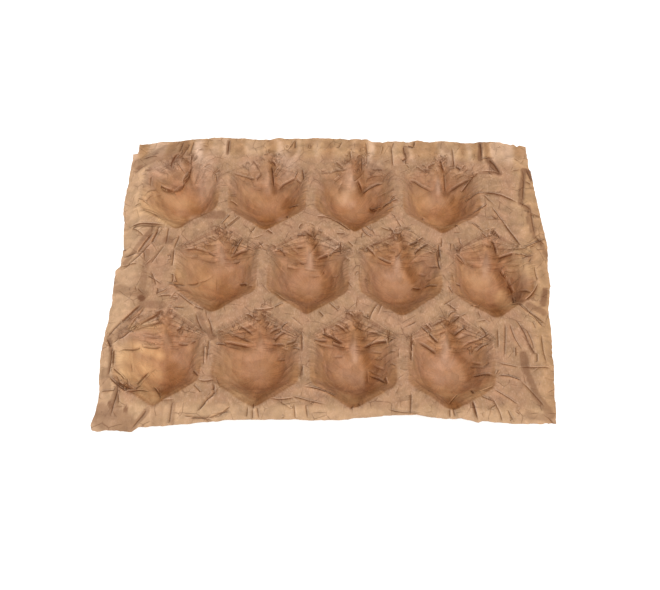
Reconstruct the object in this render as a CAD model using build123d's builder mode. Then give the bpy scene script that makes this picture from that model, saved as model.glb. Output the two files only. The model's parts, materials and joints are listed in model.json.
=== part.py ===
from build123d import *
from math import hypot, sin, sqrt
import os

# Tray for apples: one sheet of kraft paper, pressed into rows of pleated hexagonal cups. Sizes are in millimetres.
# X runs along the long side, Y to the back and Z up. The floors of the cups stand on Z = 0.

# Rows of cups, where every second row is shifted by half a cup
columns = 4
rows = 3

# Rim of one cup: a hexagon with one tip at the back and one at the front
cup_width = 73.5
cup_length = 90.0
cup_side = 43.0
cup_depth = 38.0

# Flat lands between the rims
side_land = 10.0
slant_land = 20.1

# Wall of one cup: a rounded shoulder, a pleated funnel and a round bowl
shoulder_drop = 1.0
shoulder_inset = 2.0
throat_drop = 5.0
throat_inset = 5.5
bowl_height = 10.0
bowl_diameter = 40.0
floor_diameter = 13.0
# Level of the ring between the bowl's edge and its floor, as a share of the bowl's height
cap_level = 0.6

# Shelf round the bowl, where the pleats end: how wide it is, how far it stands up on the two back sides,
# the share of those sides over which it rises, and the share of a pleat's height that is left there
shelf_width = 4.0
shelf_rise = 1.8
shelf_blend = 0.3
shelf_pleat = 0.5

# Pleats that gather the paper round a cup, on each side in turn from the back right one
side_pleats = (6, 6, 4, 2, 2, 4)
side_pleat_heights = (2.6, 2.6, 1.2, 0.8, 0.8, 1.6)
# Groove down from the back tip, with a smooth tongue of paper to its left, as wide as a count of half pleats.
# Both lean to the right as they go down, by angles in degrees at the shelf and at the bowl's edge.
tip_groove_depth = 3.5
tongue_height = 2.4
tongue_half_pleats = 3
shelf_lean = 9.0
bowl_lean = 12.0
# How unlike the pleats are: a share of their height that comes and goes from pleat to pleat and cup to cup
pleat_swing = 0.35
pleat_phase = 1.7
cup_phase = 2.4

# Sheet round the cups
paper_thickness = 0.8
side_margin = 12.0
back_margin = 17.8
front_margin = 10.8
land_border = 3.0
fold_height = 1.2
folds_per_span = 2

# Torn edge of the sheet, at even steps along each side: how far it stands out from a plain
# rectangle, and how far it rises over the lands. The sides run anticlockwise from the front right corner.
right_side = ((-6, 0), (-5, 1), (-2, -1), (-1, -2), (4, -2), (5, 0), (3, 1), (0, 0), (-1, -1), (-2, -1))
back_side = ((-5, -1), (0, 1), (1, -1), (-1, 1), (0, 0), (3, 1), (2, -1), (-1, 0), (1, -1), (-3, -4), (-4, -8))
left_side = ((-5, -8), (4, -8), (7, -7), (5, -5), (-2, -2), (1, -2), (0, -1), (1, -3), (-1, -4), (-1, -5))
front_side = ((13, -5), (10, -3), (6, -1), (3, 1), (1, 0), (0, -1), (-4, 1), (-5, 2), (0, 0), (0, -1), (0, 0))

column_pitch = cup_width + side_land
slant_run = cup_width / 2
slant_rise = (cup_length - cup_side) / 2
row_pitch = cup_length + (slant_land * hypot(slant_run, slant_rise) - slant_rise * column_pitch / 2) / slant_run
rim_height = cup_depth + paper_thickness
right_edge = (columns - 0.5) / 2 * column_pitch + cup_width / 2 + side_margin
back_edge = (rows - 1) / 2 * row_pitch + cup_length / 2 + back_margin
front_edge = -(rows - 1) / 2 * row_pitch - cup_length / 2 - front_margin
rim_corners = [
    Vector(cup_width / 2, cup_side / 2),
    Vector(0, cup_length / 2),
    Vector(-cup_width / 2, cup_side / 2),
    Vector(-cup_width / 2, -cup_side / 2),
    Vector(0, -cup_length / 2),
    Vector(cup_width / 2, -cup_side / 2),
]


def cup_centre(row, column):
    """Centre of a cup, counted from the back row and from the left."""
    shift = column_pitch / 4 * (1 if row % 2 else -1)
    x = shift + (column - (columns - 1) / 2) * column_pitch
    return Vector(x, ((rows - 1) / 2 - row) * row_pitch)


def between(values, share):
    """Value at a share of the way along evenly spaced values."""
    place = share * (len(values) - 1)
    k = min(int(place), len(values) - 2)
    return values[k] + (values[k + 1] - values[k]) * (place - k)


def flat(*corners):
    """A flat facet of folded paper."""
    return Face(Wire.make_polygon(corners, close=True))


def cup_profile(rim, fold, tipward, wall):
    """Points down the cup's wall below one point of its rim, as pairs of radius and drop.

    A fold above zero is a ridge and one below zero a groove. The wall's other face is the same line moved
    one wall away, square to the line through its neighbours.
    """
    rim_radius = hypot(rim.X, rim.Y)
    throat = rim_radius - throat_inset
    bowl = bowl_diameter / 2
    bowl_drop = cup_depth - bowl_height
    floor = floor_diameter / 2
    slope = (bowl_drop - throat_drop) / (throat - bowl)
    rise = shelf_rise * min(1, tipward / shelf_blend) + shelf_pleat * fold
    line = [
        (rim_radius, 0),
        (rim_radius - shoulder_inset, shoulder_drop),
        (throat - fold, throat_drop),
        (bowl + shelf_width, bowl_drop - shelf_width * slope - rise),
        (bowl, bowl_drop),
        (floor + (bowl - floor) * sqrt(1 - cap_level**2), cup_depth - (1 - cap_level) * bowl_height),
        (floor, cup_depth),
    ]
    moved = [(rim_radius, wall)]
    for before, (radius, drop), after in zip(line, line[1:], line[2:]):
        run = before[0] - after[0]
        fall = after[1] - before[1]
        moved.append((radius + wall * fall / hypot(run, fall), drop + wall * run / hypot(run, fall)))
    return moved + [(floor, cup_depth + wall)]


def cup_wall(row, column, wall):
    """One face of a cup's wall, as flat facets between the rim, the pleats, the bowl and the floor."""
    centre = cup_centre(row, column)
    number = row * columns + column
    leans = (0, 0, 0, shelf_lean, bowl_lean, bowl_lean, bowl_lean)
    levels = [[] for _ in leans]
    for side, pleats in enumerate(side_pleats):
        start = rim_corners[side]
        end = rim_corners[(side + 1) % 6]
        for k in range(2 * pleats):
            rim = start + (end - start) * (k / (2 * pleats))
            i = len(levels[0])
            swing = pleat_swing * (1 - sin(cup_phase * number + pleat_phase * i))
            fold = side_pleat_heights[side] * (1 - swing) if k % 2 else 0
            tipward = 0
            if side == 0:
                tipward = k / (2 * pleats)
            if side == 1:
                tipward = 1 - k / (2 * pleats)
                if k == 0:
                    fold = -tip_groove_depth
                elif k <= tongue_half_pleats:
                    fold = tongue_height
            profile = cup_profile(rim, fold, tipward, wall)
            for level, (radius, drop), lean in zip(levels, profile, leans):
                spot = centre + rim.normalized().rotate(Axis.Z, -lean * tipward) * radius
                level.append(Vector(spot.X, spot.Y, rim_height - drop))
    rim, shoulder, throat, shelf, bowl, cap, floor = levels
    count = len(rim)
    facets = [flat(*floor[::4])]
    first = 0
    for pleats in side_pleats:
        middle = first + 2 * (pleats // 2)
        last = first + 2 * pleats
        for k in range(first, last, 2):
            nearer = first if k < middle else last % count
            facets.append(flat(rim[nearer], shoulder[k], shoulder[(k + 2) % count]))
        facets.append(flat(rim[first], shoulder[middle], rim[last % count]))
        first = last
    for k in range(0, count, 2):
        ridge = (k + 1) % count
        end = (k + 2) % count
        facets.append(flat(shoulder[k], throat[k], throat[ridge]))
        facets.append(flat(shoulder[k], throat[ridge], shoulder[end]))
        facets.append(flat(shoulder[end], throat[ridge], throat[end]))
        facets.append(flat(throat[k], shelf[k], throat[ridge]))
        facets.append(flat(throat[ridge], shelf[k], shelf[ridge]))
        facets.append(flat(throat[ridge], shelf[ridge], shelf[end]))
        facets.append(flat(throat[ridge], shelf[end], throat[end]))
        facets.append(flat(shelf[k], bowl[k], shelf[ridge]))
        facets.append(flat(shelf[ridge], bowl[k], bowl[end]))
        facets.append(flat(shelf[ridge], bowl[end], shelf[end]))
        facets.append(flat(bowl[k], cap[k], cap[end]))
        facets.append(flat(bowl[k], cap[end], bowl[end]))
    for k in range(0, count, 4):
        middle = (k + 2) % count
        end = (k + 4) % count
        facets.append(flat(cap[k], floor[k], cap[middle]))
        facets.append(flat(cap[middle], floor[k], floor[end]))
        facets.append(flat(cap[middle], floor[end], cap[end]))
    return facets


def land_sides():
    """Border of the flat lands, just outside the outer cups: the points along each of the four sides."""
    half = cup_width / 2 + land_border
    shoulder = cup_side / 2
    slant = (cup_side + cup_length) / 4 + land_border
    tip = cup_length / 2 + land_border
    right = []
    left = []
    for row in range(rows):
        for k in (1, 0, -1):
            left.append(cup_centre(row, 0) + Vector(-half, k * shoulder))
            right.append(cup_centre(row, columns - 1) + Vector(half, k * shoulder))
    back = [right[0]]
    front = [left[-1]]
    for column in range(columns):
        for x, y in ((-cup_width / 4, slant), (0, tip), (cup_width / 4, slant)):
            back.append(cup_centre(0, columns - 1 - column) + Vector(-x, y))
            front.append(cup_centre(rows - 1, column) + Vector(x, -y))
        if column < columns - 1:
            back.append(cup_centre(0, columns - 1 - column) + Vector(-column_pitch / 2, shoulder + land_border))
            front.append(cup_centre(rows - 1, column) + Vector(column_pitch / 2, -shoulder - land_border))
    back.append(left[0])
    front.append(right[-1])
    return right[::-1], back, left, front


def sheet_border():
    """Pairs of points round the sheet: on the border of the lands, and out on the torn edge."""
    shapes = (right_side, back_side, left_side, front_side)
    outward = (Vector(1, 0), Vector(0, 1), Vector(-1, 0), Vector(0, -1))
    reach = (right_edge, back_edge, right_edge, -front_edge)
    corners = []
    for k in range(4):
        before = outward[k - 1] * (reach[k - 1] + shapes[k - 1][-1][0])
        corners.append(before + outward[k] * (reach[k] + shapes[k][0][0]))
    pairs = []
    for k, side in enumerate(land_sides()):
        along = outward[(k + 1) % 4]
        offsets = [shape[0] for shape in shapes[k]]
        rises = [shape[1] for shape in shapes[k]]
        length = (side[-1] - side[0]).dot(along)
        for start, end in zip(side, side[1:]):
            for part in range(folds_per_span):
                inner = start + (end - start) * (part / folds_per_span)
                share = (inner - side[0]).dot(along) / length
                straight = offsets[0] + (offsets[-1] - offsets[0]) * share
                outer = corners[k] + (corners[(k + 1) % 4] - corners[k]) * share
                outer += outward[k] * (between(offsets, share) - straight)
                fold = fold_height * (1 if len(pairs) % 2 else -1) if share else 0
                pairs.append((inner, Vector(outer.X, outer.Y, between(rises, share) + fold)))
    return pairs


def sheet_face(height):
    """One face of the paper: the lands with their cups' rims cut out, and the strip out to the torn edge."""
    up = Vector(0, 0, height)
    inner = [pair[0] + up for pair in border]
    outer = [pair[1] + up for pair in border]
    rims = []
    for row in range(rows):
        for column in range(columns):
            rims.append(Wire.make_polygon([cup_centre(row, column) + corner + up for corner in rim_corners]))
    facets = [Face(Wire.make_polygon(inner), rims)]
    for k in range(len(border)):
        facets.append(flat(inner[k - 1], outer[k - 1], outer[k]))
        facets.append(flat(inner[k - 1], outer[k], inner[k]))
    return facets


border = sheet_border()
skin = sheet_face(rim_height) + sheet_face(rim_height - paper_thickness)
for k in range(len(border)):
    rise = Vector(0, 0, rim_height)
    a = border[k - 1][1] + rise
    b = border[k][1] + rise
    down = Vector(0, 0, paper_thickness)
    skin.append(flat(a, a - down, b - down))
    skin.append(flat(a, b - down, b))
for row in range(rows):
    for column in range(columns):
        skin += cup_wall(row, column, 0) + cup_wall(row, column, paper_thickness)

paper = Solid(Shell(skin))
middle = paper.bounding_box().center()
with BuildPart() as tray:
    with Locations((-middle.X, -middle.Y)):
        add(paper, clean=False)

tray.part.label = "tray"
os.makedirs("parts", exist_ok=True)
export_step(tray.part, "parts/tray.step")
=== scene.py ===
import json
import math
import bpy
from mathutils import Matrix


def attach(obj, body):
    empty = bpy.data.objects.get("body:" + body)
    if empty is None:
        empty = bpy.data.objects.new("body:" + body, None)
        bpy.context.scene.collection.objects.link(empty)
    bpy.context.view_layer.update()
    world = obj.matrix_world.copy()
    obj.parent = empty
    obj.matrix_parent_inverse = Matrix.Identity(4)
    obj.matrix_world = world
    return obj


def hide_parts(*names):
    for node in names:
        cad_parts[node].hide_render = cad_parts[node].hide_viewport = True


bl_info = {
    "name": "Kraft Paper Fruit Tray",
    "version": (1, 0, 0),
    "blender": (4, 5, 0),
    "location": "View3D > Sidebar > Tray",
    "description": "Presses a sheet of kraft paper into a tray of pleated cups, lit on a pale floor",
    "category": "Add Mesh",
}

from functools import partial

import bpy
import numpy as np
from mathutils import Matrix, Vector

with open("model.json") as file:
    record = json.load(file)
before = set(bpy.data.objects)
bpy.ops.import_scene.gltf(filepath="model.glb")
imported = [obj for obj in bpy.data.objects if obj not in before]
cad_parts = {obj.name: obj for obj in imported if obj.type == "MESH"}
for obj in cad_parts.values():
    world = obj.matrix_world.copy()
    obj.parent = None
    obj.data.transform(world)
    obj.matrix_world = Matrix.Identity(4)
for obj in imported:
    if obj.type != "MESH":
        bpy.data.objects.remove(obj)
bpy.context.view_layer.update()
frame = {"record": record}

# All shapes are worked out in millimetres, and a mesh is turned to metres when it is made.
MM = 0.001

# Lattice of the cups, in rows from the back and columns from the left. The frame's mount is one cup's floor.
COLUMNS = 4
ROWS = 3
SIDE_LAND = 10.0
SLANT_LAND = 20.1
MOUNT_ROW = 1
MOUNT_COLUMN = 1
MOUNT = next(mount for mount in frame["record"]["mounts"] if mount["name"] == "cup_floor")
MOUNT_X, MOUNT_Y = (value / MM for value in MOUNT["pos_m"][:2])

# Plain rectangle that the sheet's grid starts from, and the band of it that moves out to the torn edge
LOW_X = -194.0
HIGH_X = 194.0
LOW_Y = -144.0
HIGH_Y = 151.0
EDGE_BAND = 18.0

# Random tables of the noises repeat after this many cells
TILE = 64

# Folds are drawn by the finish in this many sets, so that lines may cross
FOLD_SETS = 3

# What the finish reads at each point of the sheet: three fields in each vector attribute. A gap is the
# distance to the nearest fold of a set, and dark is how dark that fold is.
ATTRIBUTES = {
    "look": ("cup", "stain", "glow"),
    "pleats": ("fan", "gathers", "rays"),
    "fold_a": ("gap_0", "dark_0", "gap_2"),
    "fold_b": ("gap_1", "dark_1", "dark_2"),
    "around": ("turn", "inside", "shade"),
    "zones": ("margin", "light", "hollow"),
}

# Torn outline of the sheet, measured in the photograph, then rounded and corrected: the left and right edge
# as (y, x), and the front and back edge as (x, y)
LEFT_EDGE = (
    (-156, -191), (-147, -192), (-140, -195), (-132, -192.5), (-119, -191.5), (-110, -193.5), (-92, -196),
    (-70, -195.5), (-54, -194), (-34, -193), (-24, -194.5), (-3, -195.5), (2, -191.5), (8, -191.5),
    (20, -191.2), (35, -194.3), (40, -195), (51, -196), (62, -199), (74, -199.5), (85, -200), (97, -199.5),
    (109, -199.2), (121, -199.6), (135, -200), (135.8, -195), (148, -195),
)
RIGHT_EDGE = (
    (-141, 188), (-128, 189), (-102, 190.5), (-92, 192), (-74, 193), (-50, 194.5), (-38, 194.3),
    (-35, 194), (-25, 196), (-10, 199), (5, 198.5), (27, 199.8), (38, 199), (49, 198), (71, 196.5),
    (85, 195.5), (100, 194.3), (118, 194.2), (121, 192.5), (131, 192.4), (146, 192),
)
FRONT_EDGE = (
    (-194, -152), (-189, -153.5), (-181, -151.6), (-170, -152.5), (-160, -153.8), (-158.5, -152),
    (-155, -149.4), (-140, -148.6), (-128, -147), (-110, -146), (-100, -145), (-88, -143.8), (-65, -142),
    (-30, -141.2), (3, -140.5), (12, -140.6), (22, -138.8), (36, -138), (48, -136), (60, -135.8),
    (76, -135.6), (84, -137), (100, -137.6), (104, -138.4), (110, -137.4), (118, -139), (124, -141.2),
    (127, -139.4), (141, -140), (165, -141), (190, -140),
)
BACK_EDGE = (
    (-193, 147.5), (-187, 147.5), (-175, 148.5), (-160, 149.2), (-150, 149.8), (-140, 150), (-128, 151.5),
    (-110, 152.3), (-92, 152.8), (-80, 150.3), (-65, 150.6), (-50, 151.8), (-20, 154), (4, 153.6),
    (7, 154.2), (14, 152), (28, 151.6), (34, 151.8), (38, 149.6), (60, 149.8), (76, 150), (84, 152.2),
    (100, 151.6), (108, 153.4), (124, 152.8), (132, 150.8), (148, 151.2), (160, 151.4), (167, 152),
    (172, 150.4), (177, 148.6), (180, 150), (184, 147), (187, 149.2), (192, 147.2),
)
# How far the edges rise over the lands, at even steps: right from the front, back from the right,
# left from the back, front from the left
RIGHT_RISE = (0, 1, -1, -2, -2, 0, 1, 0, -1, -1)
BACK_RISE = (-1, 1, -1, 1, 0, 1, -1, 0, -1, -4, -8)
LEFT_RISE = (-8, -8, -7, -5, -2, -2, -1, -3, -4, -5)
FRONT_RISE = (-5, -3, -1, 1, 0, -1, 1, 2, 0, -1, 0)

# Folds of the lands and margins, placed one by one: x and y of the two ends, and the bow between them.
# The deep ones are broad and dark, and the long ones are finer.
DEEP_FOLDS = (
    (-104, 149, -104, 129, 0), (-38, 151, -38, 140, 0), (-150, 147, -152, 131, 0),
    (-152, 131, -160, 117, -1), (70, 144, 73, 129, -1), (73, 130, 68, 126, 0), (81, 151, 80, 143, 0),
    (80.5, 143, 74, 144, 0), (146, 150, 146.5, 130, 0), (145, 130, 153, 132, 0), (153, 130, 164, 111, 1),
    (135, 70, 148, 77, -1.5), (166, 5, 168, -12, 1.5), (168, -10, 164, -27, 1), (120, -121, 124, -140, 0),
    (142, -99, 163, -103, 2), (-143, -5, -143, -16, 1), (-146, -16, -137, -19, 1), (-190, 47, -154, 46, 1),
    (-158, -88, -161, -112, -2), (37, 92, 49, 79, -1), (48, 80, 62, 81, -2), (0, 57, 19, 44, 1.5),
    (-104, 48, -96, 60, 0), (-171, 103, -158, 105, -1), (-160, 105, -148, 112, -2),
    (-149, 111, -140, 123, -1), (-22, -112, 8, -120, 2), (72, -61, 70, -87, 1), (98, 28, 100, 3, -1),
    (-60, 43, -54, 39, 0), (-95, -111, -94, -121, -1), (-94, -120, -107, -138, -1.5),
    (-161, 44, -166, 26, 0), (-166, 27, -191, -4, 1), (-165, 40, -178, 15, 0), (-177, 16, -190, 10, -1),
    (-166, -37, -182, -56, 0), (-181, -55, -193, -70, 0), (-146, -41, -167, -58, 1),
    (-165, -56, -189, -77, 0), (-193, -70, -188, -79, 0), (-187, -78, -186, -108, 0.5),
    (-186, -105, -167, -120, -1), (-169, -120, -150, -113, -1), (-183, -99, -172, -108, 1),
    (-176, -117, -180, -142, 0.5), (151, 75, 163, 53, 0), (161, 56, 177, 28, 0), (-195, 20, -188, 18, 0),
    (127, 102, 144, 115, 0), (129, 90, 147, 90, 0), (145, 90, 179, 77, 3), (176, 28, 199, 38, 0),
    (162, -28, 172, -31, 1), (170, -29, 188, -51, 0), (174, -25, 188, -7, -2),
)
LONG_FOLDS = (
    (-190, 46, -174, 33, 1), (-187, 79, -174, 73, 0), (-180, 63, -165, 60, 0), (-172, 62, -157, 52, 0),
    (-100, 45, -87, 58, 0), (-95, 27, -82, 34, 0), (57, 148, 59, 119, 0), (60, 148, 58, 139, 0),
    (9, 149, 5, 139, 0), (32, 149, 33, 117, 1), (118, 148, 119, 120, 0), (50, -130, 79, -134, -1.5),
    (-50, -122, -28, -122, -2), (-30, -121, 0, -128, 0), (-28, -127, -26, -141, 0),
    (-18, -128, -16, -140, 0), (-62, -132, -61, -142, 0), (-58, -131, -56, -141, 0),
    (-66, -130, -66, -140, 0), (104, -127, 105, -137, 0), (101, -129, 101, -137, 0),
    (-80, -131, -91, -142, 0), (-89, -141, -119, -139, 1.5), (-113, -112, -104, -121, 0),
    (-111, -107, -96, -107, -2), (-165, -8, -151, -17, 0), (-163, -3, -156, -18, 0),
    (-156, -25, -145, -20, -1), (-154, -30, -141, -28, 1), (-155, -20, -155, -28, 1),
    (-179, -104, -173, -131, 0), (-171, -110, -159, -118, -1), (-118, -44, -110, -62, -1),
    (-107, -49, -101, -68, 1), (-108, -72, -106, -95, 0), (-104, -70, -104, -92, 0),
    (-71, -40, -48, -38, -1.5), (-49, -38, -40, -34, 0.5), (-10, -40, -5, -46, 0), (-24, -61, -23, -81, 0),
    (-22, -92, -24, -104, 0), (-1, -32, 9, -41, 0), (44, -31, 35, -49, -1.5), (51, -57, 51, -67, 0),
    (103, -30, 113, -39, 0), (106, -13, 110, -21, 0), (124, -32, 134, -33, 1), (27, 50, 40, 36, -2),
    (45, 49, 58, 45, -1), (58, 46, 56, 39, 0), (3, 41, 13, 41, -1), (29, 43, 28, 35, 0),
    (15, 33, 21, 26, 0), (-1, 22, 11, 27, 1), (9, 29, 9, 21, 0), (119, 39, 121, 29, -1),
    (121, 30, 118, 24, 0), (115, 22, 127, 18, 1), (103, 39, 102, 27, 0), (140, 45, 152, 43, -2),
    (150, 51, 157, 39, 0), (-67, 30, -62, 23, 0), (-62, 30, -68, 24, 0), (190, 120, 193, 101, 0),
    (187, 104, 192, 100, 0), (186, 119, 181, 78, 1), (-190, 128, -172, 126, 1), (-139, 147, -141, 128, 0),
    (-142, 146, -150, 128, 1), (-141, 36, -145, 20, 0), (-145, 22, -144, 1, 0.5), (-152, 44, -153, 24, 0),
    (-153, 26, -164, 4, 0), (-163, -40, -177, -66, 0), (-192, 1, -176, 5, 0), (-190, -119, -176, -118, 0),
    (-129, -127, -130, -146, 0), (-149, -134, -161, -152, 0), (-116, -142, -93, -144, 1),
    (-80, -134, -101, -144, 0), (-172, -104, -167, -119, 1), (131, 56, 144, 44, 0), (186, 11, 188, -7, -1),
    (163, -45, 173, -69, 1.5), (172, -66, 177, -78, 0), (158, -49, 168, -76, -2), (185, -56, 186, -87, -1),
    (154, -49, 150, -84, 0.5), (147, -53, 146, -73, 0), (146, -87, 163, -91, 0), (161, -91, 190, -91, 0.5),
    (146, -98, 162, -103, 1.5), (161, -102, 180, -126, 0.5), (139, -111, 160, -126, 0.5),
    (135, -116, 144, -140, 1), (149, -129, 154, -139, 0), (179, -76, 178, -86, 0),
    (128, -117, 139, -122, -0.5), (177, 80, 189, 70, 0.5), (188, 72, 189, 40, 0), (189, 41, 197, 31, 0),
    (-172, 18, -170, 8, 0), (144, 115, 164, 113, 1.5), (172, -54, 177, -76, 1),
)

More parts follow.
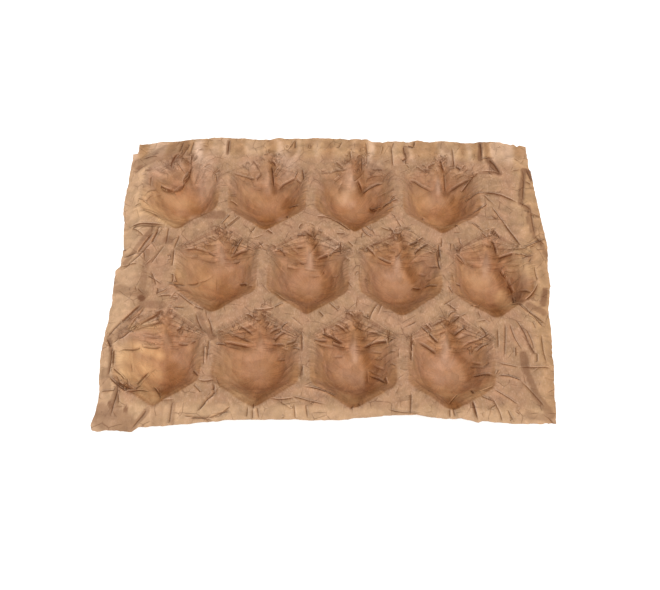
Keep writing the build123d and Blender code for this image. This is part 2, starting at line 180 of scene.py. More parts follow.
# Folds in each cup, measured from its centre: x and y of the two ends, bow and strength
CUP_FOLDS = (
    (
        (-25, 11, -14, 16.5, -1, 0.7), (-14, 15, -4, 21, 0.5, 0.7), (-5, 21, 3, 31, 1, 0.7),
        (-16, 14, -3, 18, 0.5, 0.6), (-36, -12, -26, 8, 2, 0.6), (-33, -14, -24, 6, 2, 0.4),
        (-30, -8, -22, 8, 1, 0.3), (-32, 19, -30, 0, -1, 0.5), (-31, 19, -4, 38, 1, 0.4),
        (3, -16, 8, -35, 0, 0.5), (15, -8, 22, -30, 0, 0.9), (18, -8, 24, -14, 0, 0.4),
        (4, 32, 6, 41, 0, 0.9), (31, 21, 33, 10, 0, 0.7), (24, 26, 32, 20, 0, 0.4),
        (-38, -25, -18, -29, 1, 0.5), (-38, -20, -20, -25, 1, 0.3), (-42, -43, -15, -43, 0, 0.7),
        (-15, -43, -18, -50, 0, 0.8),
    ),
    (
        (0, 39, 6, 33, 0.5, 0.9), (-3, 40, 2, 36, 0, 0.6), (1, 36, 3, 21, 0, 0.9),
        (6, 19, 26, 20, 0.8, 0.8), (24, 20, 29, 25, 0, 0.7), (32, 27, 34, 15, 0, 0.8),
        (26, 20, 33, 13, 0, 0.6), (-36, 19.5, -14, 22.5, -0.5, 0.7), (-14, 22, -5, 30, 0.5, 0.6),
        (-20, 16, -8, 19, 0, 0.3), (18, 1, 30, -13, 1, 0.9), (17, -9, 20, -31, 0, 1),
        (-36, -13, -28, -13, 1, 0.7), (-38, -10, -30, -2, 0, 0.4), (-36, -6, -28, 4, 0, 0.3),
        (-10, -41, -14, -49, 1, 0.7), (3, -39, 7, -48, 0, 0.6), (-24, -31, -35, -42, 0, 0.5),
        (10, 30, 20, 26, 0, 0.4), (20, 8, 30, 2, 0, 0.4),
    ),
    (
        (-5, 48, -4, 40, 0, 0.9), (6, 43, 7, 31, 0, 0.7), (9, 43, 10, 35, 0, 0.5), (3, 27, 8, 19, 0, 0.8),
        (8, 18, 30, 17, 1.2, 0.9), (12, 29, 28, 27, 0.5, 0.6), (10, 25, 32, 21, 0.5, 0.5),
        (-31, 20, -6, 32, 0.8, 0.6), (-20, 20, -6, 31, 0, 0.4), (-18, 14, -10, 24, 0, 0.3),
        (15, 4, 27, -8, 0.6, 1), (26, -8, 36, -11, 1, 0.9), (36, -11, 42, -7, 0, 0.7),
        (30, -17, 38, -17, 0, 0.8), (34, -6, 42, -2, 0, 0.6), (30, 1, 40, -6, 0, 0.4),
        (-15, -6, -10, -10, 0, 0.4), (-18, -31, -4, -43, 0, 1), (-36, -30, -18, -31, 0.5, 0.7),
        (8, -37, 16, -44, 0, 0.8), (16, -42, 20, -50, 0, 0.6), (20, 10, 32, 4, 0, 0.4),
        (-2, 33, 6, 31, 0, 0.4),
    ),
    (
        (0, 43, 5, 32, 0, 1), (5, 32, 8, 19, 0, 0.7), (9, 19, 30, 20, 0, 0.8), (24, 21, 40, 27, -1, 0.4),
        (8, 33, 16, 32, 0, 0.5), (16, 33, 21, 29, 0, 0.9), (21, 29, 25, 34, 0, 0.7),
        (-30, 19, -4, 20, 0.5, 0.7), (-22, 27, -8, 32, 0.5, 0.5), (-12, 33, -2, 39, 0, 0.7),
        (-25, 23, -6, 25, 0, 0.3), (-14, -7, -18, -18, 0, 0.6), (11, -33, 13, -38, 0, 1),
        (30, -18, 40, -15, 0, 0.6), (28, -32, 34, -38, 0, 0.6), (12, 26, 28, 25, 0.5, 0.4),
        (18, 12, 30, 4, 0, 0.3), (-8, 4, 6, 8, 1, 0.2),
    ),
    (
        (-34, 20, -12, 24, 0.5, 0.7), (-12, 24, -2, 23, 0, 0.6), (-33, 15, -20, 19, 0, 0.3),
        (-16, 27, -5, 30, 0, 0.5), (-16, 33, -3, 33, 0.5, 0.6), (-8, 36, 1, 34, 0, 0.5),
        (-2, 47, 0, 38, 0, 0.7), (3, 49, 5, 40, 0, 0.6), (-10, 45, -2, 45, 0.6, 0.5),
        (-6, 42, 2, 41, 0, 0.6), (10, 22.5, 22, 32, -1, 1), (8, 22.5, 30, 22, 0, 0.8),
        (30, 22, 40, 22.5, 0, 0.6), (11, 19, 25, 16, 0, 0.6), (10, 26, 18, 29, 0, 0.5),
        (8, 32, 20, 31, 0, 0.4), (28, 18, 36, 16, 0, 0.4), (17, 1, 28, -12, 1, 0.9),
        (26, -11, 34, -18, 0, 0.6), (-20, 0, -28, -12, 1, 0.7), (-28, -12, -38, -17, 1, 0.7),
        (-20, 0, -5, 14, -1, 0.5), (-35, -25, -16, -40, 0, 0.7), (-16, -40, -7, -43, 0, 0.7),
        (-42, 20, -41, 1, 1, 0.8), (-5, 10, -4, -12, 0, 0.3),
    ),
    (
        (-37, 27, -30, 23, 0, 0.6), (-30, 22, -24, 21, 0.5, 1), (-28, 24, -22, 20, 0, 0.7),
        (-33, 20, -12, 22, 0.5, 0.6), (-14, 21, -4, 20, 0, 0.5), (-12, 28, -4, 30, 0, 0.5),
        (-20, 26, -10, 25, 0, 0.4), (-12, 36, -2, 39, 0, 0.8), (-4, 41, 3, 38, 0.8, 0.8),
        (-10, 44, -6, 50, 1, 0.7), (-3, 50, 5, 46, 1, 0.5), (8, 42, 15, 39, 0, 0.5), (6, 23, 18, 22, 0, 1),
        (18, 22, 32, 21.5, 0.6, 1), (10, 32, 22, 32, 0.5, 0.5), (10, 30, 19, 28.5, 0.5, 0.5),
        (29, 21, 29, 30, 0, 0.9), (28, 25, 35, 20, 0, 0.6), (30, 18, 38, 9, 0, 0.5),
        (-5, 17, 12, 15, 0, 0.35), (-3, 12.5, 11, 11, 0, 0.35), (-22, 13, -7, 17, 0, 0.5),
        (-20, 16, -10, 19, 0, 0.3), (-31, -21, -10, -40, 0, 0.5), (12, 18, 14, 12, 0, 0.6),
        (22, 6, 30, -2, 0, 0.3), (-36, 14, -28, 8, 0, 0.3),
    ),
    (
        (-31, 25, -21, 20.5, 0, 1), (-21, 20.5, -5, 21.5, 0, 0.9), (-26, 28, -12, 33, 0, 0.5),
        (-14, 33, -3, 39, 0, 0.6), (-16, 30, -5, 32, 0, 0.5), (-12, 27, -2, 29, 0, 0.4),
        (-10, 24, -3, 26, 0, 0.4), (-8, 40, 3, 42.5, 0, 0.8), (-9, 47, -4, 40, 0, 0.8),
        (0, 44, 3, 37, 0, 0.7), (-6, 37, 4, 36, 0.5, 0.6), (8, 31.5, 18, 33, 0, 1),
        (17, 33, 23, 37, 0, 0.8), (9, 30, 20, 30, 0.5, 0.6), (14, 25, 28, 30, 0, 0.9),
        (20, 22, 34, 22, 0, 0.5), (36.5, 30, 38, 11, -1, 0.9), (25, 14, 36, 5, 0, 0.6),
        (14, 1, 22, -5, 0, 1), (22, -5, 34, -13, 0.5, 0.8), (18, 12, 29, 2, 0, 0.4),
        (20, 8, 29, -3, 0, 0.3), (-37, 6, -37, -16, 0, 0.4), (-36, -10, -26, -2, 0, 0.25),
        (-17, -34, -22, -47, 0, 0.6), (5, 45, 14, 42, 0, 0.5), (4, 48, 12, 46, 0, 0.4),
    ),
    (
        (-35, 20, -22, 17, 0, 0.6), (-34, 31, -34, 20, 1, 0.5), (-33, -10, -26, -5, 0, 0.7),
        (-20, 19, -5, 21, 0, 0.4), (-10, 36, 0, 39, 0, 0.4), (3, 46, 6, 41, 0, 0.8), (9, 25, 22, 22, 0, 1),
        (22, 22, 39, 18, 0, 1), (10, 26, 36, 27, 0, 0.6), (36, 27, 46, 33, 0, 0.6),
        (38, 18, 34, 12, 0, 0.6), (3, 38, 9, 26, 0.5, 0.8), (9, 26, 19, 8, -0.5, 0.6),
        (19, 8, 22, -8, 0.5, 0.6), (22, -8, 34, -19, 0, 0.6), (27, -14, 20, -28, 1, 0.4),
        (20, -28, 30, -40, -1, 0.8), (28, -37, 45, -50, 0, 0.7), (-20, -35, -12, -30, 0, 0.6),
        (-6, -14, -12, -30, 0, 0.3), (14, 20, 28, 12, 0, 0.4), (16, 16, 30, 4, 0, 0.4),
        (16, 28, 30, 31, 0, 0.3), (-36, 0, -34, -12, 0, 0.4),
    ),
    (
        (-36, 3, -20, 14, -1, 0.8), (-20, 14, -4, 20, -0.5, 0.7), (-30, 21, -2, 36, -1, 0.7),
        (-28, 23, -8, 32, 0, 0.4), (-26, 18, -6, 24, 0, 0.5), (-9, 40, 0, 43, 0, 0.6),
        (0, 38, 9, 36, 0, 0.4), (10, 20, 22, 17, 0, 0.7), (22, 17, 29, 18, 0, 0.6),
        (10, 27.5, 19, 28.5, 0, 0.9), (12, 25, 17, 30, 0, 0.7), (20, 25, 27, 28, 0, 0.6),
        (8, 24, 14, 26, 0, 0.4), (-39, 5, -38, -12, 0, 1), (-38, -12, -30, -18, 0, 0.8),
        (-32, -24, -16, -32, -1, 1), (-35, -17, -27, -30, 0, 0.7), (-16, -32, -13, -24, 0, 0.7),
        (-30, -30, -14, -36, 0, 0.5), (-16, -26, -16, -8, 0.5, 0.8), (-15, -8, -9, 1, 0, 0.4),
        (-8, -18, 4, -36, 1, 0.9), (-4, -16, 6, -40, 0, 0.6), (28, -9, 36, -19, 0, 0.8),
        (5, -41, 18, -40, 0, 0.5), (-26, -2, -22, -20, 0, 0.3),
    ),
    (
        (-13, 40, -5, 37, 1, 0.9), (-6, 37, 3, 38, 0, 0.7), (-6, 46, 3, 46, -1, 0.6),
        (2, 44, 12, 42, 0, 0.6), (-9, 43, -1, 42, 0, 0.5), (-17, 30, -5, 27, 0.5, 0.8),
        (-16, 33, -5, 32, 0, 0.5), (-28, 23.5, -4, 22.5, 0, 0.7), (-30, 20, -10, 25, 0, 0.5),
        (-30, 17, -7, 20, 0, 0.8), (-36, 11, -28, 16, 0, 0.9), (-28, 15, -10, 18, 0, 0.5),
        (8, 27, 20, 28, 0.5, 0.9), (20, 28, 27, 33, 0.8, 0.9), (10, 31, 18, 31, 0, 0.5),
        (12, 22, 27, 25, 0.5, 0.8), (10, 21, 24, 17, 0, 0.7), (24, 18, 34, 18, 0, 0.7),
        (24, 16, 36, 13, 0, 0.5), (30, 12, 38, 7, 0, 0.7), (14, 19, 28, 12, 0, 0.4),
        (38, 23, 39, 5, 0.6, 0.8), (10, 10, 24, 6, 1, 0.5), (39, -6, 39, -19, 1, 0.7),
        (-34, -25, -33, -31, 0, 0.8), (-32, -31, -38, -44, 0, 0.6), (0, -40, 1, -47, 0, 0.7),
        (4, 36, 14, 34, 0, 0.5),
    ),
    (
        (-9, 43, 0, 41, 1, 0.9), (-8, 45.5, 3, 44, 0, 0.6), (4, 43, 14, 38, 0, 0.6),
        (-17, 32, -5, 29, 1, 0.9), (-14, 34.5, -4, 32, 0, 0.5), (-28, 24, -6, 22, 0.5, 1),
        (-25, 24, -26, 29, 0, 0.9), (-35, 18, -22, 20.5, 0, 0.8), (-22, 20, -6, 21, 0, 0.7),
        (-34, 15.5, -6, 19.5, 0, 0.5), (-20, 11, -8, 15, 0, 0.5), (9, 30, 20, 32, 0.5, 0.5),
        (10, 28, 22, 26, 0, 0.7), (12, 26, 28, 24, 0, 0.4), (8, 20, 30, 19, 1.2, 1),
        (30, 18.5, 31, 28, 0, 1), (12, 18, 26, 12, 0, 0.5), (14, 14, 30, 4, 0, 0.5),
        (15, 10, 27, -4, 0, 0.5), (14, 4, 28, -12, 0, 0.5), (13, 0, 28, -18, 1, 0.8),
        (27, -11, 29, -20, 0, 0.9), (30, 0, 36, -6, 0, 0.6), (31, 10, 38, 6, 0, 0.5),
        (12.5, 8, 13, -10, 0, 0.5), (-28, -29, -16, -33, 0.5, 0.7), (0, -39, -2, -46, 0, 0.6),
        (4, -38, 6, -44, 0, 0.6),
    ),
    (
        (-14, 33, -2, 40, 0.5, 0.7), (0, 42, 8, 46, 2, 0.8), (2, 38, 10, 43, -1, 0.8),
        (-5, 38, 3, 38, 0, 0.9), (-25, 31, -18, 27, 0, 1), (-18, 27, -7, 24, 0, 1),
        (-22, 34, -15, 29, 0, 0.8), (-18, 35, -13, 30, 0, 0.6), (-27, 20, -8, 18, 0, 0.8),
        (-20, 23, -6, 22, 0, 0.4), (4, 29, 15, 32.5, 0, 1), (8, 26, 20, 27, 0, 0.5),
        (12, 20.5, 30, 22, 0.5, 0.7), (24, 22, 35, 27, -1, 0.8), (26, 34, 32, 24, 1, 0.7),
        (16, 20, 26, 14, 0, 0.6), (24, 14, 35, 17, 2, 0.8), (30, 24, 38, 19, 0, 0.5),
        (18, 12, 28, 2, 0, 0.5), (20, 6, 32, -4, 0, 0.5), (20, -4, 34, -12, 1, 0.8),
        (30, -8, 36, -14, 0, 0.5), (36, -14, 40, -7, 0, 0.6), (18, -20, 18, -28, 0, 1),
        (18, -28, 35, -22, 0, 0.6), (-33, 23, -34, 12, 0, 0.8), (-34, 10, -34, 0, 0, 0.8),
        (-3, -38, 10, -20, 1, 0.7), (-10, -22, -3, -38, 0, 0.5), (16, -37, 18, -50, 0, 1),
        (10, 45, 14, 38, -1, 0.5),
    ),
)

# Pleats strewn along each side of a rim: corner and next corner, number of pleats, direction at both corners
# in degrees, length, depth and darkness. Corners are counted anticlockwise from the back tip.
RIM_PLEATS = (
    (1, 0, 20, -8, -30, 13, 0.7, 0.6),
    (5, 0, 20, 188, 215, 13, 0.7, 0.6),
    (5, 4, 9, 200, 176, 12, 0.5, 0.35),
    (1, 2, 7, -14, 6, 10, 0.4, 0.25),
    (4, 3, 5, 150, 120, 7, 0.3, 0.2),
    (2, 3, 5, 30, 60, 7, 0.3, 0.2),
)
TIP_PLEATS = 12
STRAY_CREASES = 800

# Channels in each cup, grooves whose shade is painted dark, and its tongues, painted pale as highlights,
# measured from its centre: x and y of the two ends, width and strength
CUP_SHADES = (
    (
        (1, 35, 3, 24, 2.5, 0.5), (4, 6, 18, -4, 7, 0.4), (-22, 14, -4, 19, 2.5, 0.3),
        (-1, -10, 2, -34, 3, 0.5),
    ),
    ((1, 38, 3, 20, 3, 0.8), (17, 6, 24, -5, 5, 0.7), (20, 17, 30, 8, 5, 0.3), (0, -16, 0, -38, 9, 0.4)),
    (
        (2, 38, 8, 21, 4.5, 0.9), (17, 2, 28, -8, 3, 0.7), (10, 24, 26, 20, 4, 0.4),
        (2, -22, 2, -38, 8, 0.4),
    ),
    (
        (2, 38, 9, 20, 3.5, 0.7), (18, 10, 24, -16, 5, 0.4), (10, 22, 28, 22, 3, 0.3),
        (10, -20, 4, -36, 6, 0.3),
    ),
    ((2, 38, 9, 25, 4, 0.5), (0, 4, 3, -30, 6, 0.4), (12, -10, 18, -30, 9, 0.5), (12, 22, 30, 20, 3, 0.3)),
    ((1, 40, 7, 26, 3, 1), (7, 26, 16, 10, 4, 0.6), (18, 4, 20, -24, 6, 0.6), (-24, 24, -6, 27, 5, 0.4)),
    (
        (1, 40, 6, 27, 3, 0.9), (6, 27, 16, 8, 3.5, 0.9), (18, 0, 30, -10, 4, 0.5),
        (-20, 25, -4, 30, 6, 0.5),
    ),
    ((2, 36, 9, 23, 3, 0.8), (9, 23, 21, -6, 3, 0.6), (-26, 22, -4, 27, 5, 0.3), (4, -22, 6, -38, 6, 0.3)),
    ((2, 40, 3, 26, 3, 0.5), (4, 2, 10, -28, 6, 0.6), (14, -6, 22, -24, 7, 0.5), (1, -26, 4, -38, 3, 0.8)),
    (
        (1, 40, 5, 28, 3.5, 0.8), (6, 28, 14, 20, 4, 0.5), (16, 4, 20, -24, 7, 0.4),
        (-26, 18, -4, 28, 6, 0.6),
    ),
    (
        (2, 40, 8, 24, 3.5, 1), (8, 24, 16, 6, 4, 0.8), (16, -2, 15, -24, 4.5, 0.8),
        (-26, 20, -5, 28, 6, 0.6),
    ),
    ((1, 38, 6, 26, 3.5, 1), (6, 26, 16, 12, 3, 0.7), (18, 8, 26, -14, 4, 0.5), (-1, -24, 0, -38, 4, 0.7)),
)
CUP_TONGUES = (
    (
        (-8, 6, -6, 0, 8, 0.3), (-26, 24, -6, 36, 3, 0.9), (8, -13, 18, -13, 4, 0.9),
        (14, -18, 10, -30, 5, 0.9), (15, 44, 19, 14, 8, 1),
    ),
    (
        (-3, 28, -3, 20, 3, 0.5), (-8, 8, 2, 8, 7, 0.3), (11, -13, 12, -27, 3, 0.8),
        (-26, 30, -14, 30, 3, 0.4), (16, 44, 19, 30, 6, 1),
    ),
    (
        (-3, 27, -9, 13, 3.5, 1), (-12, 10, -2, 10, 4, 0.7), (-4, -4, 4, 4, 7, 0.3),
        (12, 36, 22, 32, 4, 0.5),
    ),
    (
        (0.5, 27, 1.5, 20, 1.8, 1), (-6, 14, 4, 14, 5, 0.5), (-14, -10, -17, -22, 3, 0.5),
        (10, 38, 11, 50, 2, 0.6),
    ),
    ((1, 30, 0, 22, 4, 0.6), (-6, 16, 8, 17, 4, 0.5), (12, 8, 16, 2, 6, 0.3), (26, 0, 34, -8, 4, 0.3)),
    ((-1, 27, 0, 19, 3, 0.9), (-6, 14, 6, 14, 4, 0.4), (-10, 2, 4, 2, 9, 0.4), (14, 30, 26, 27, 3, 0.6)),
    ((0, 25, -1, 17, 2.8, 1), (-10, 13, 2, 14, 4, 0.8), (-10, 4, 6, 4, 8, 0.4), (-8, 2, 2, -2, 6, 0.3)),
    (
        (-1, 25, 0, 16, 3.2, 0.9), (-10, 12, 4, 12, 4.5, 0.6), (-8, 2, 6, 2, 8, 0.3),
        (24, 8, 32, -4, 5, 0.3),
    ),
    (
        (0, 24, 0, 18, 3, 0.4), (13, 6, 20, -10, 9, 0.35), (10, 12, 18, 4, 6, 0.5),
        (-20, 16, -8, 22, 4, 0.5), (-24, 4, -12, 8, 6, 0.4),
    ),
    ((-2, 18, -12, 12, 5, 0.5), (-10, 4, 2, 4, 8, 0.4), (4, 14, 10, 10, 4, 0.3), (0, 22, 1, 16, 3, 0.4)),
    ((0, 23, 2, 14, 2.8, 0.9), (-10, 10, 0, 10, 5, 0.5), (-8, 0, 6, -4, 8, 0.5), (8, 0, 10, -10, 3, 0.5)),
    ((0, 24, -1, 15, 3.2, 1), (-10, 10, 4, 10, 5, 0.7), (-6, 0, 8, 0, 9, 0.6), (22, 0, 30, -6, 3, 0.4)),
)

# Painted glow in some cups: a warm colour that stands in for light coming through the thin paper. Number of
# the cup, then as above
CUP_GLOWS = (
    (0, -28, -20, -6, -22, 11, 0.8), (0, -20, 6, -2, 8, 7, 0.4), (0, -14, -34, -4, -38, 5, 0.8),
    (0, -30, 0, -34, -6, 6, 0.5), (1, -24, 10, -14, 12, 6, 0.25), (2, -12, 12, -6, 18, 5, 0.35),
    (3, -22, 2, -12, 12, 7, 0.35), (3, -4, -14, 8, -30, 7, 0.35), (4, -32, 8, -12, 6, 8, 0.35),
    (4, -26, -6, -10, -26, 8, 0.4), (7, 26, 14, 34, 2, 6, 0.45), (7, 14, -6, 15, -28, 5, 0.7),
    (7, -16, 12, 0, 8, 7, 0.3), (7, 26, 24, 34, 23, 3, 0.4), (8, -30, 0, -14, -4, 9, 1.0),
    (8, -26, -14, -12, -20, 7, 1.0), (8, -24, 12, -8, 14, 4, 0.9), (8, -26, 26, -10, 30, 3, 0.5),
    (8, -10, -26, 0, -38, 5, 0.9), (9, -26, 4, -22, -20, 7, 0.35), (9, -14, -30, -4, -38, 5, 0.5),
    (11, -4, -20, 12, -26, 7, 0.5), (11, 30, -20, 24, -26, 3, 0.4), (10, -8, -26, 0, -34, 5, 0.3),
)

# Walls that are crushed inwards: number of the cup, the two ends of a line that the crushed paper lies to
# the left of, and the width and the height of the step across that line
DENTS = (
    (7, 9, 30, 24, -22, 13, 7.0),
    (8, -2, -40, -6, 22, 12, 5.0),
)

# Grey-brown stains on the sheet: x and y of the two ends, width and strength
STAINS = (
    (-190, 122, -150, 142, 7, 0.5), (-160, 119, -149, 142, 4, 0.5), (-184, 128, -156, 128, 6, 0.35),
    (-191, 117, -189, 117, 2.5, 0.9), (-148, 138, -147, 138, 3, 0.6), (-120, 59, -104, 59, 3.5, 0.7),
    (190, 118, 192, 117, 2.5, 1), (-152, 30, -150, 30, 3.5, 0.6), (-166, -37, -148, -38, 3, 0.5),
    (-104, -62, -101, -68, 2.5, 0.8), (-115, -46, -108, -62, 2.2, 0.5), (-190, -22, -166, -28, 4, 0.5),
    (72, 142, 73, 131, 2, 0.6), (-104, 148, -104, 132, 1.8, 0.7), (18, 141, 27, 143, 3, 0.4),
    (108, 149, 112, 141, 3, 0.4), (155, 126, 158, 118, 3, 0.5), (-190, -100, -185, -118, 3, 0.4),
    (38, 119, 52, 112, 4, 0.35), (-150, 140, -150, 128, 4, 0.4), (-167, 43, -188, 5, 1.8, 0.6),
    (-169, 17, -168, -22, 2.4, 0.4), (-165, -38, -192, -71, 2, 0.5), (-172, -52, -186, -70, 1.6, 0.4),
    (-176, -118, -179, -142, 2.9, 0.6), (-149, -135, -161, -152, 2.2, 0.6),
    (-188, -139, -166, -146, 8, 0.6), (-141, -133, -139, -146, 4, 0.3), (-128, -129, -128, -144, 1.6, 0.5),
    (-181, -129, -180, -131, 1.6, 1), (-167, -133, -167, -136, 1.2, 1), (-168, -31, -167, -32, 2.4, 1.3),
    (-190, -71, -187, -84, 1.6, 0.8), (-187, -84, -186, -106, 1, 0.6), (185, 61, 189, 41, 1.8, 0.7),
    (194, -14, 190, -29, 2.2, 0.9), (177, -31, 189, -37, 2.6, 0.7), (168, -53, 176, -77, 1.2, 0.7),
    (167, -79, 168, -94, 2.9, 0.8), (169, -96, 175, -119, 2.2, 0.7), (174, -116, 184, -133, 3.2, 0.6),
    (166, -133, 182, -136, 2.8, 0.4), (192, 36, 199, 19, 2, 0.6), (146.6, 150, 145.4, 130, 1.9, 0.95),
    (153, 130, 163, 113, 2.4, 0.9), (187, 118, 180, 78, 2.2, 0.8), (191, 118, 194, 106, 1.5, 1),
    (180, 78, 188, 68, 1.6, 0.6), (186, 74, 189, 44, 2, 0.7), (170, -13, 169, -27, 3.5, 0.6),
    (144, 114, 162, 113, 1.2, 0.5), (147, 90, 162, 90, 1.2, 0.5),
)


def linear(colour):
    """Linear red, green, blue and alpha of an sRGB hex colour."""
    parts = [int(colour[k : k + 2], 16) / 255 for k in (1, 3, 5)]
    return [part / 12.92 if part <= 0.04045 else ((part + 0.055) / 1.055) ** 2.4 for part in parts] + [1.0]


def ease(share):
    """Smooth step from 0 to 1: 3 s² - 2 s³, held beyond both ends."""
    share = np.clip(share, 0, 1)
    return share * share * (3 - 2 * share)


def step(value, start, width):
    """Smooth step of a value: 0 at the start and 1 one width further on. A negative width runs downwards."""
    return ease((value - start) / width)


def noise(x, y, size, seed):
    """Smooth noise from -1 to 1: random values on a square lattice, eased from each to the next."""
    table = np.random.default_rng(seed).uniform(-1, 1, (TILE, TILE))
    column = np.floor(x / size).astype(int)
    row = np.floor(y / size).astype(int)
    across = ease(x / size - column)
    up = ease(y / size - row)
    left, right = column % TILE, (column + 1) % TILE
    below, above = row % TILE, (row + 1) % TILE
    low = table[below, left] * (1 - across) + table[below, right] * across
    high = table[above, left] * (1 - across) + table[above, right] * across
    return low * (1 - up) + high * up


def dimples(x, y, size, seed):
    """Ridges between dimples, from 0 to about 1: the squared distance to the nearest of scattered points."""
    shift = np.random.default_rng(seed).uniform(0.1, 0.9, (2, TILE, TILE))
    column = np.floor(x / size).astype(int)
    row = np.floor(y / size).astype(int)
    nearest = np.full(x.shape, 9.0)
    for i in (-1, 0, 1):
        for j in (-1, 0, 1):
            place = ((row + j) % TILE, (column + i) % TILE)
            gap_x = column + i + shift[0][place] - x / size
            gap_y = row + j + shift[1][place] - y / size
            nearest = np.minimum(nearest, gap_x**2 + gap_y**2)
    return nearest


def cup_centres(shape):
    """Centres of the cups, row by row from the back left one. Every second row is shifted by half a cup."""
    pitch = shape.cup_width / MM + SIDE_LAND
    run = shape.cup_width / MM / 2
    rise = (shape.cup_length - shape.cup_side) / MM / 2
    row_pitch = shape.cup_length / MM + (SLANT_LAND * math.hypot(run, rise) - rise * pitch / 2) / run
    centres = []
    for row in range(ROWS):
        shift = 0 if (row - MOUNT_ROW) % 2 == 0 else -pitch / 2
        for column in range(COLUMNS):
            x = MOUNT_X + shift + (column - MOUNT_COLUMN) * pitch
            centres.append((x, MOUNT_Y + (MOUNT_ROW - row) * row_pitch))
    return centres


def rim_radius(x, y, shape):
    """Distance from a cup's centre to its rim, in the direction of each point.

    The rim is a hexagon with tips at the back and front, and its front half reaches a little further. Its
    corners are rounded by a power mean of the distances to its six sides: the higher the power, the sharper.
    """
    front_power = 22.0
    back_power = 44.0
    front_stretch = 0.98
    half = shape.cup_width / MM / 2
    side = shape.cup_side / MM / 2
    tip = shape.cup_length / MM / 2
    slant = math.hypot(half, tip - side)
    sides = [(1.0, 0.0, half), ((tip - side) / slant, half / slant, tip * half / slant)]
    sides.append((-sides[1][0], sides[1][1], sides[1][2]))
    radius = np.maximum(np.hypot(x, y), 1e-6)
    y = np.where(y < 0, y * front_stretch, y)
    power = np.where(y < 0, front_power, back_power)
    total = 0
    for normal_x, normal_y, distance in sides:
        total = total + (np.abs(x * normal_x + y * normal_y) / (radius * distance)) ** power
    return total ** (-1 / power)


def wall_drop(radius, rim, depth, front):
    """Drop of a cup's wall below the lands: cubic curves through levels given as radius, drop and slope.

    The rim is a crisp edge at the front of a cup, where front is 1, and a soft shoulder at its back.
    """
    throat_inset = 5.0
    throat_drop = 5.6
    bowl_radius = 22.0
    bowl_height = 12.5
    floor_radius = 12.0
    floor_height = 2.9
    slope = (depth - bowl_height - throat_drop) / (rim - throat_inset - bowl_radius)
    levels = (
        (rim + 1.6 - 1.1 * front, 0.0, 0.5 * front),
        (rim - 1.2 + 0.4 * front, 1.3, 0.8 + 0.5 * front),
        (rim - throat_inset, throat_drop, 0.95 * slope),
        (bowl_radius + 0 * rim, depth - bowl_height, slope),
        (floor_radius + 0 * rim, depth - floor_height, 0.52),
        (0 * rim, depth, 0.0),
    )
    drop = np.zeros(radius.shape)
    for (outer, start, start_slope), (inner, end, end_slope) in zip(levels, levels[1:]):
        width = outer - inner
        t = np.clip((outer - radius) / width, 0, 1)
        curve = start * (1 + 2 * t) * (1 - t) ** 2 + end * t * t * (3 - 2 * t)
        curve = curve + width * (start_slope * t * (1 - t) ** 2 - end_slope * t * t * (1 - t))
        drop = np.where(radius <= outer, curve, drop)
    return drop


def moved(centre, mark):
    """A fold or mark of a cup, with both ends moved from the cup's centre to their places on the sheet."""
    x0, y0, x1, y1, *rest = mark
    return (centre[0] + x0, centre[1] + y0, centre[0] + x1, centre[1] + y1, *rest)


def cup_pleats(centre, number, shape):
    """Folds of one cup: those placed one by one, pleats strewn along its rim and short ones at its tip.

    Each fold is x, y, x, y, bow, width, depth, lean and darkness. The lean is 0 for a plain groove, and
    1 or -1 for a pleat that lies over to one side.
    """
    rng = np.random.default_rng(100 + number)
    folds = []
    for k, (x0, y0, x1, y1, bow, strength) in enumerate(CUP_FOLDS[number]):
        folds.append((x0, y0, x1, y1, bow, 1.3, 1.1 * strength, (1, -1, 0)[k % 3], strength))
    half = shape.cup_width / MM / 2
    side = shape.cup_side / MM / 2
    tip = shape.cup_length / MM / 2
    corners = ((0, tip), (-half, side), (-half, -side), (0, -tip), (half, -side), (half, side))
    for first, second, count, first_turn, second_turn, length, depth, darkness in RIM_PLEATS:
        start = np.array(corners[first], float)
        end = np.array(corners[second], float)
        for k in range(count):
            share = (k + 0.5 + rng.uniform(-0.6, 0.6)) / count
            turn = math.radians(first_turn + (second_turn - first_turn) * share + rng.normal(0, 9))
            ahead = np.array((math.cos(turn), math.sin(turn)))
            reach = length * rng.uniform(0.3, 1.25)
            top = start + (end - start) * share + ahead * rng.uniform(-4, 7)
            foot = top + ahead * reach
            strength = rng.uniform(0.15, 1.0) ** 1.5
            folds.append((
                *top, *foot, rng.uniform(-1.2, 1.2), rng.uniform(0.9, 1.5), depth * (0.3 + strength),
                rng.choice((-1, 1, 0)), darkness * strength,
            ))
    for _ in range(TIP_PLEATS):
        x = rng.normal(0, 5)
        y = tip - 2 + rng.normal(0, 3)
        turn = rng.normal(0, 0.5)
        reach = rng.uniform(3, 8)
        folds.append((
            x, y, x + reach * math.cos(turn), y + reach * math.sin(turn), rng.uniform(-1.5, 1.5),
            rng.uniform(0.9, 1.3), rng.uniform(0.3, 0.8), rng.choice((-1, 1)), rng.uniform(0.1, 0.7),
        ))
    return [moved(centre, fold) for fold in folds]


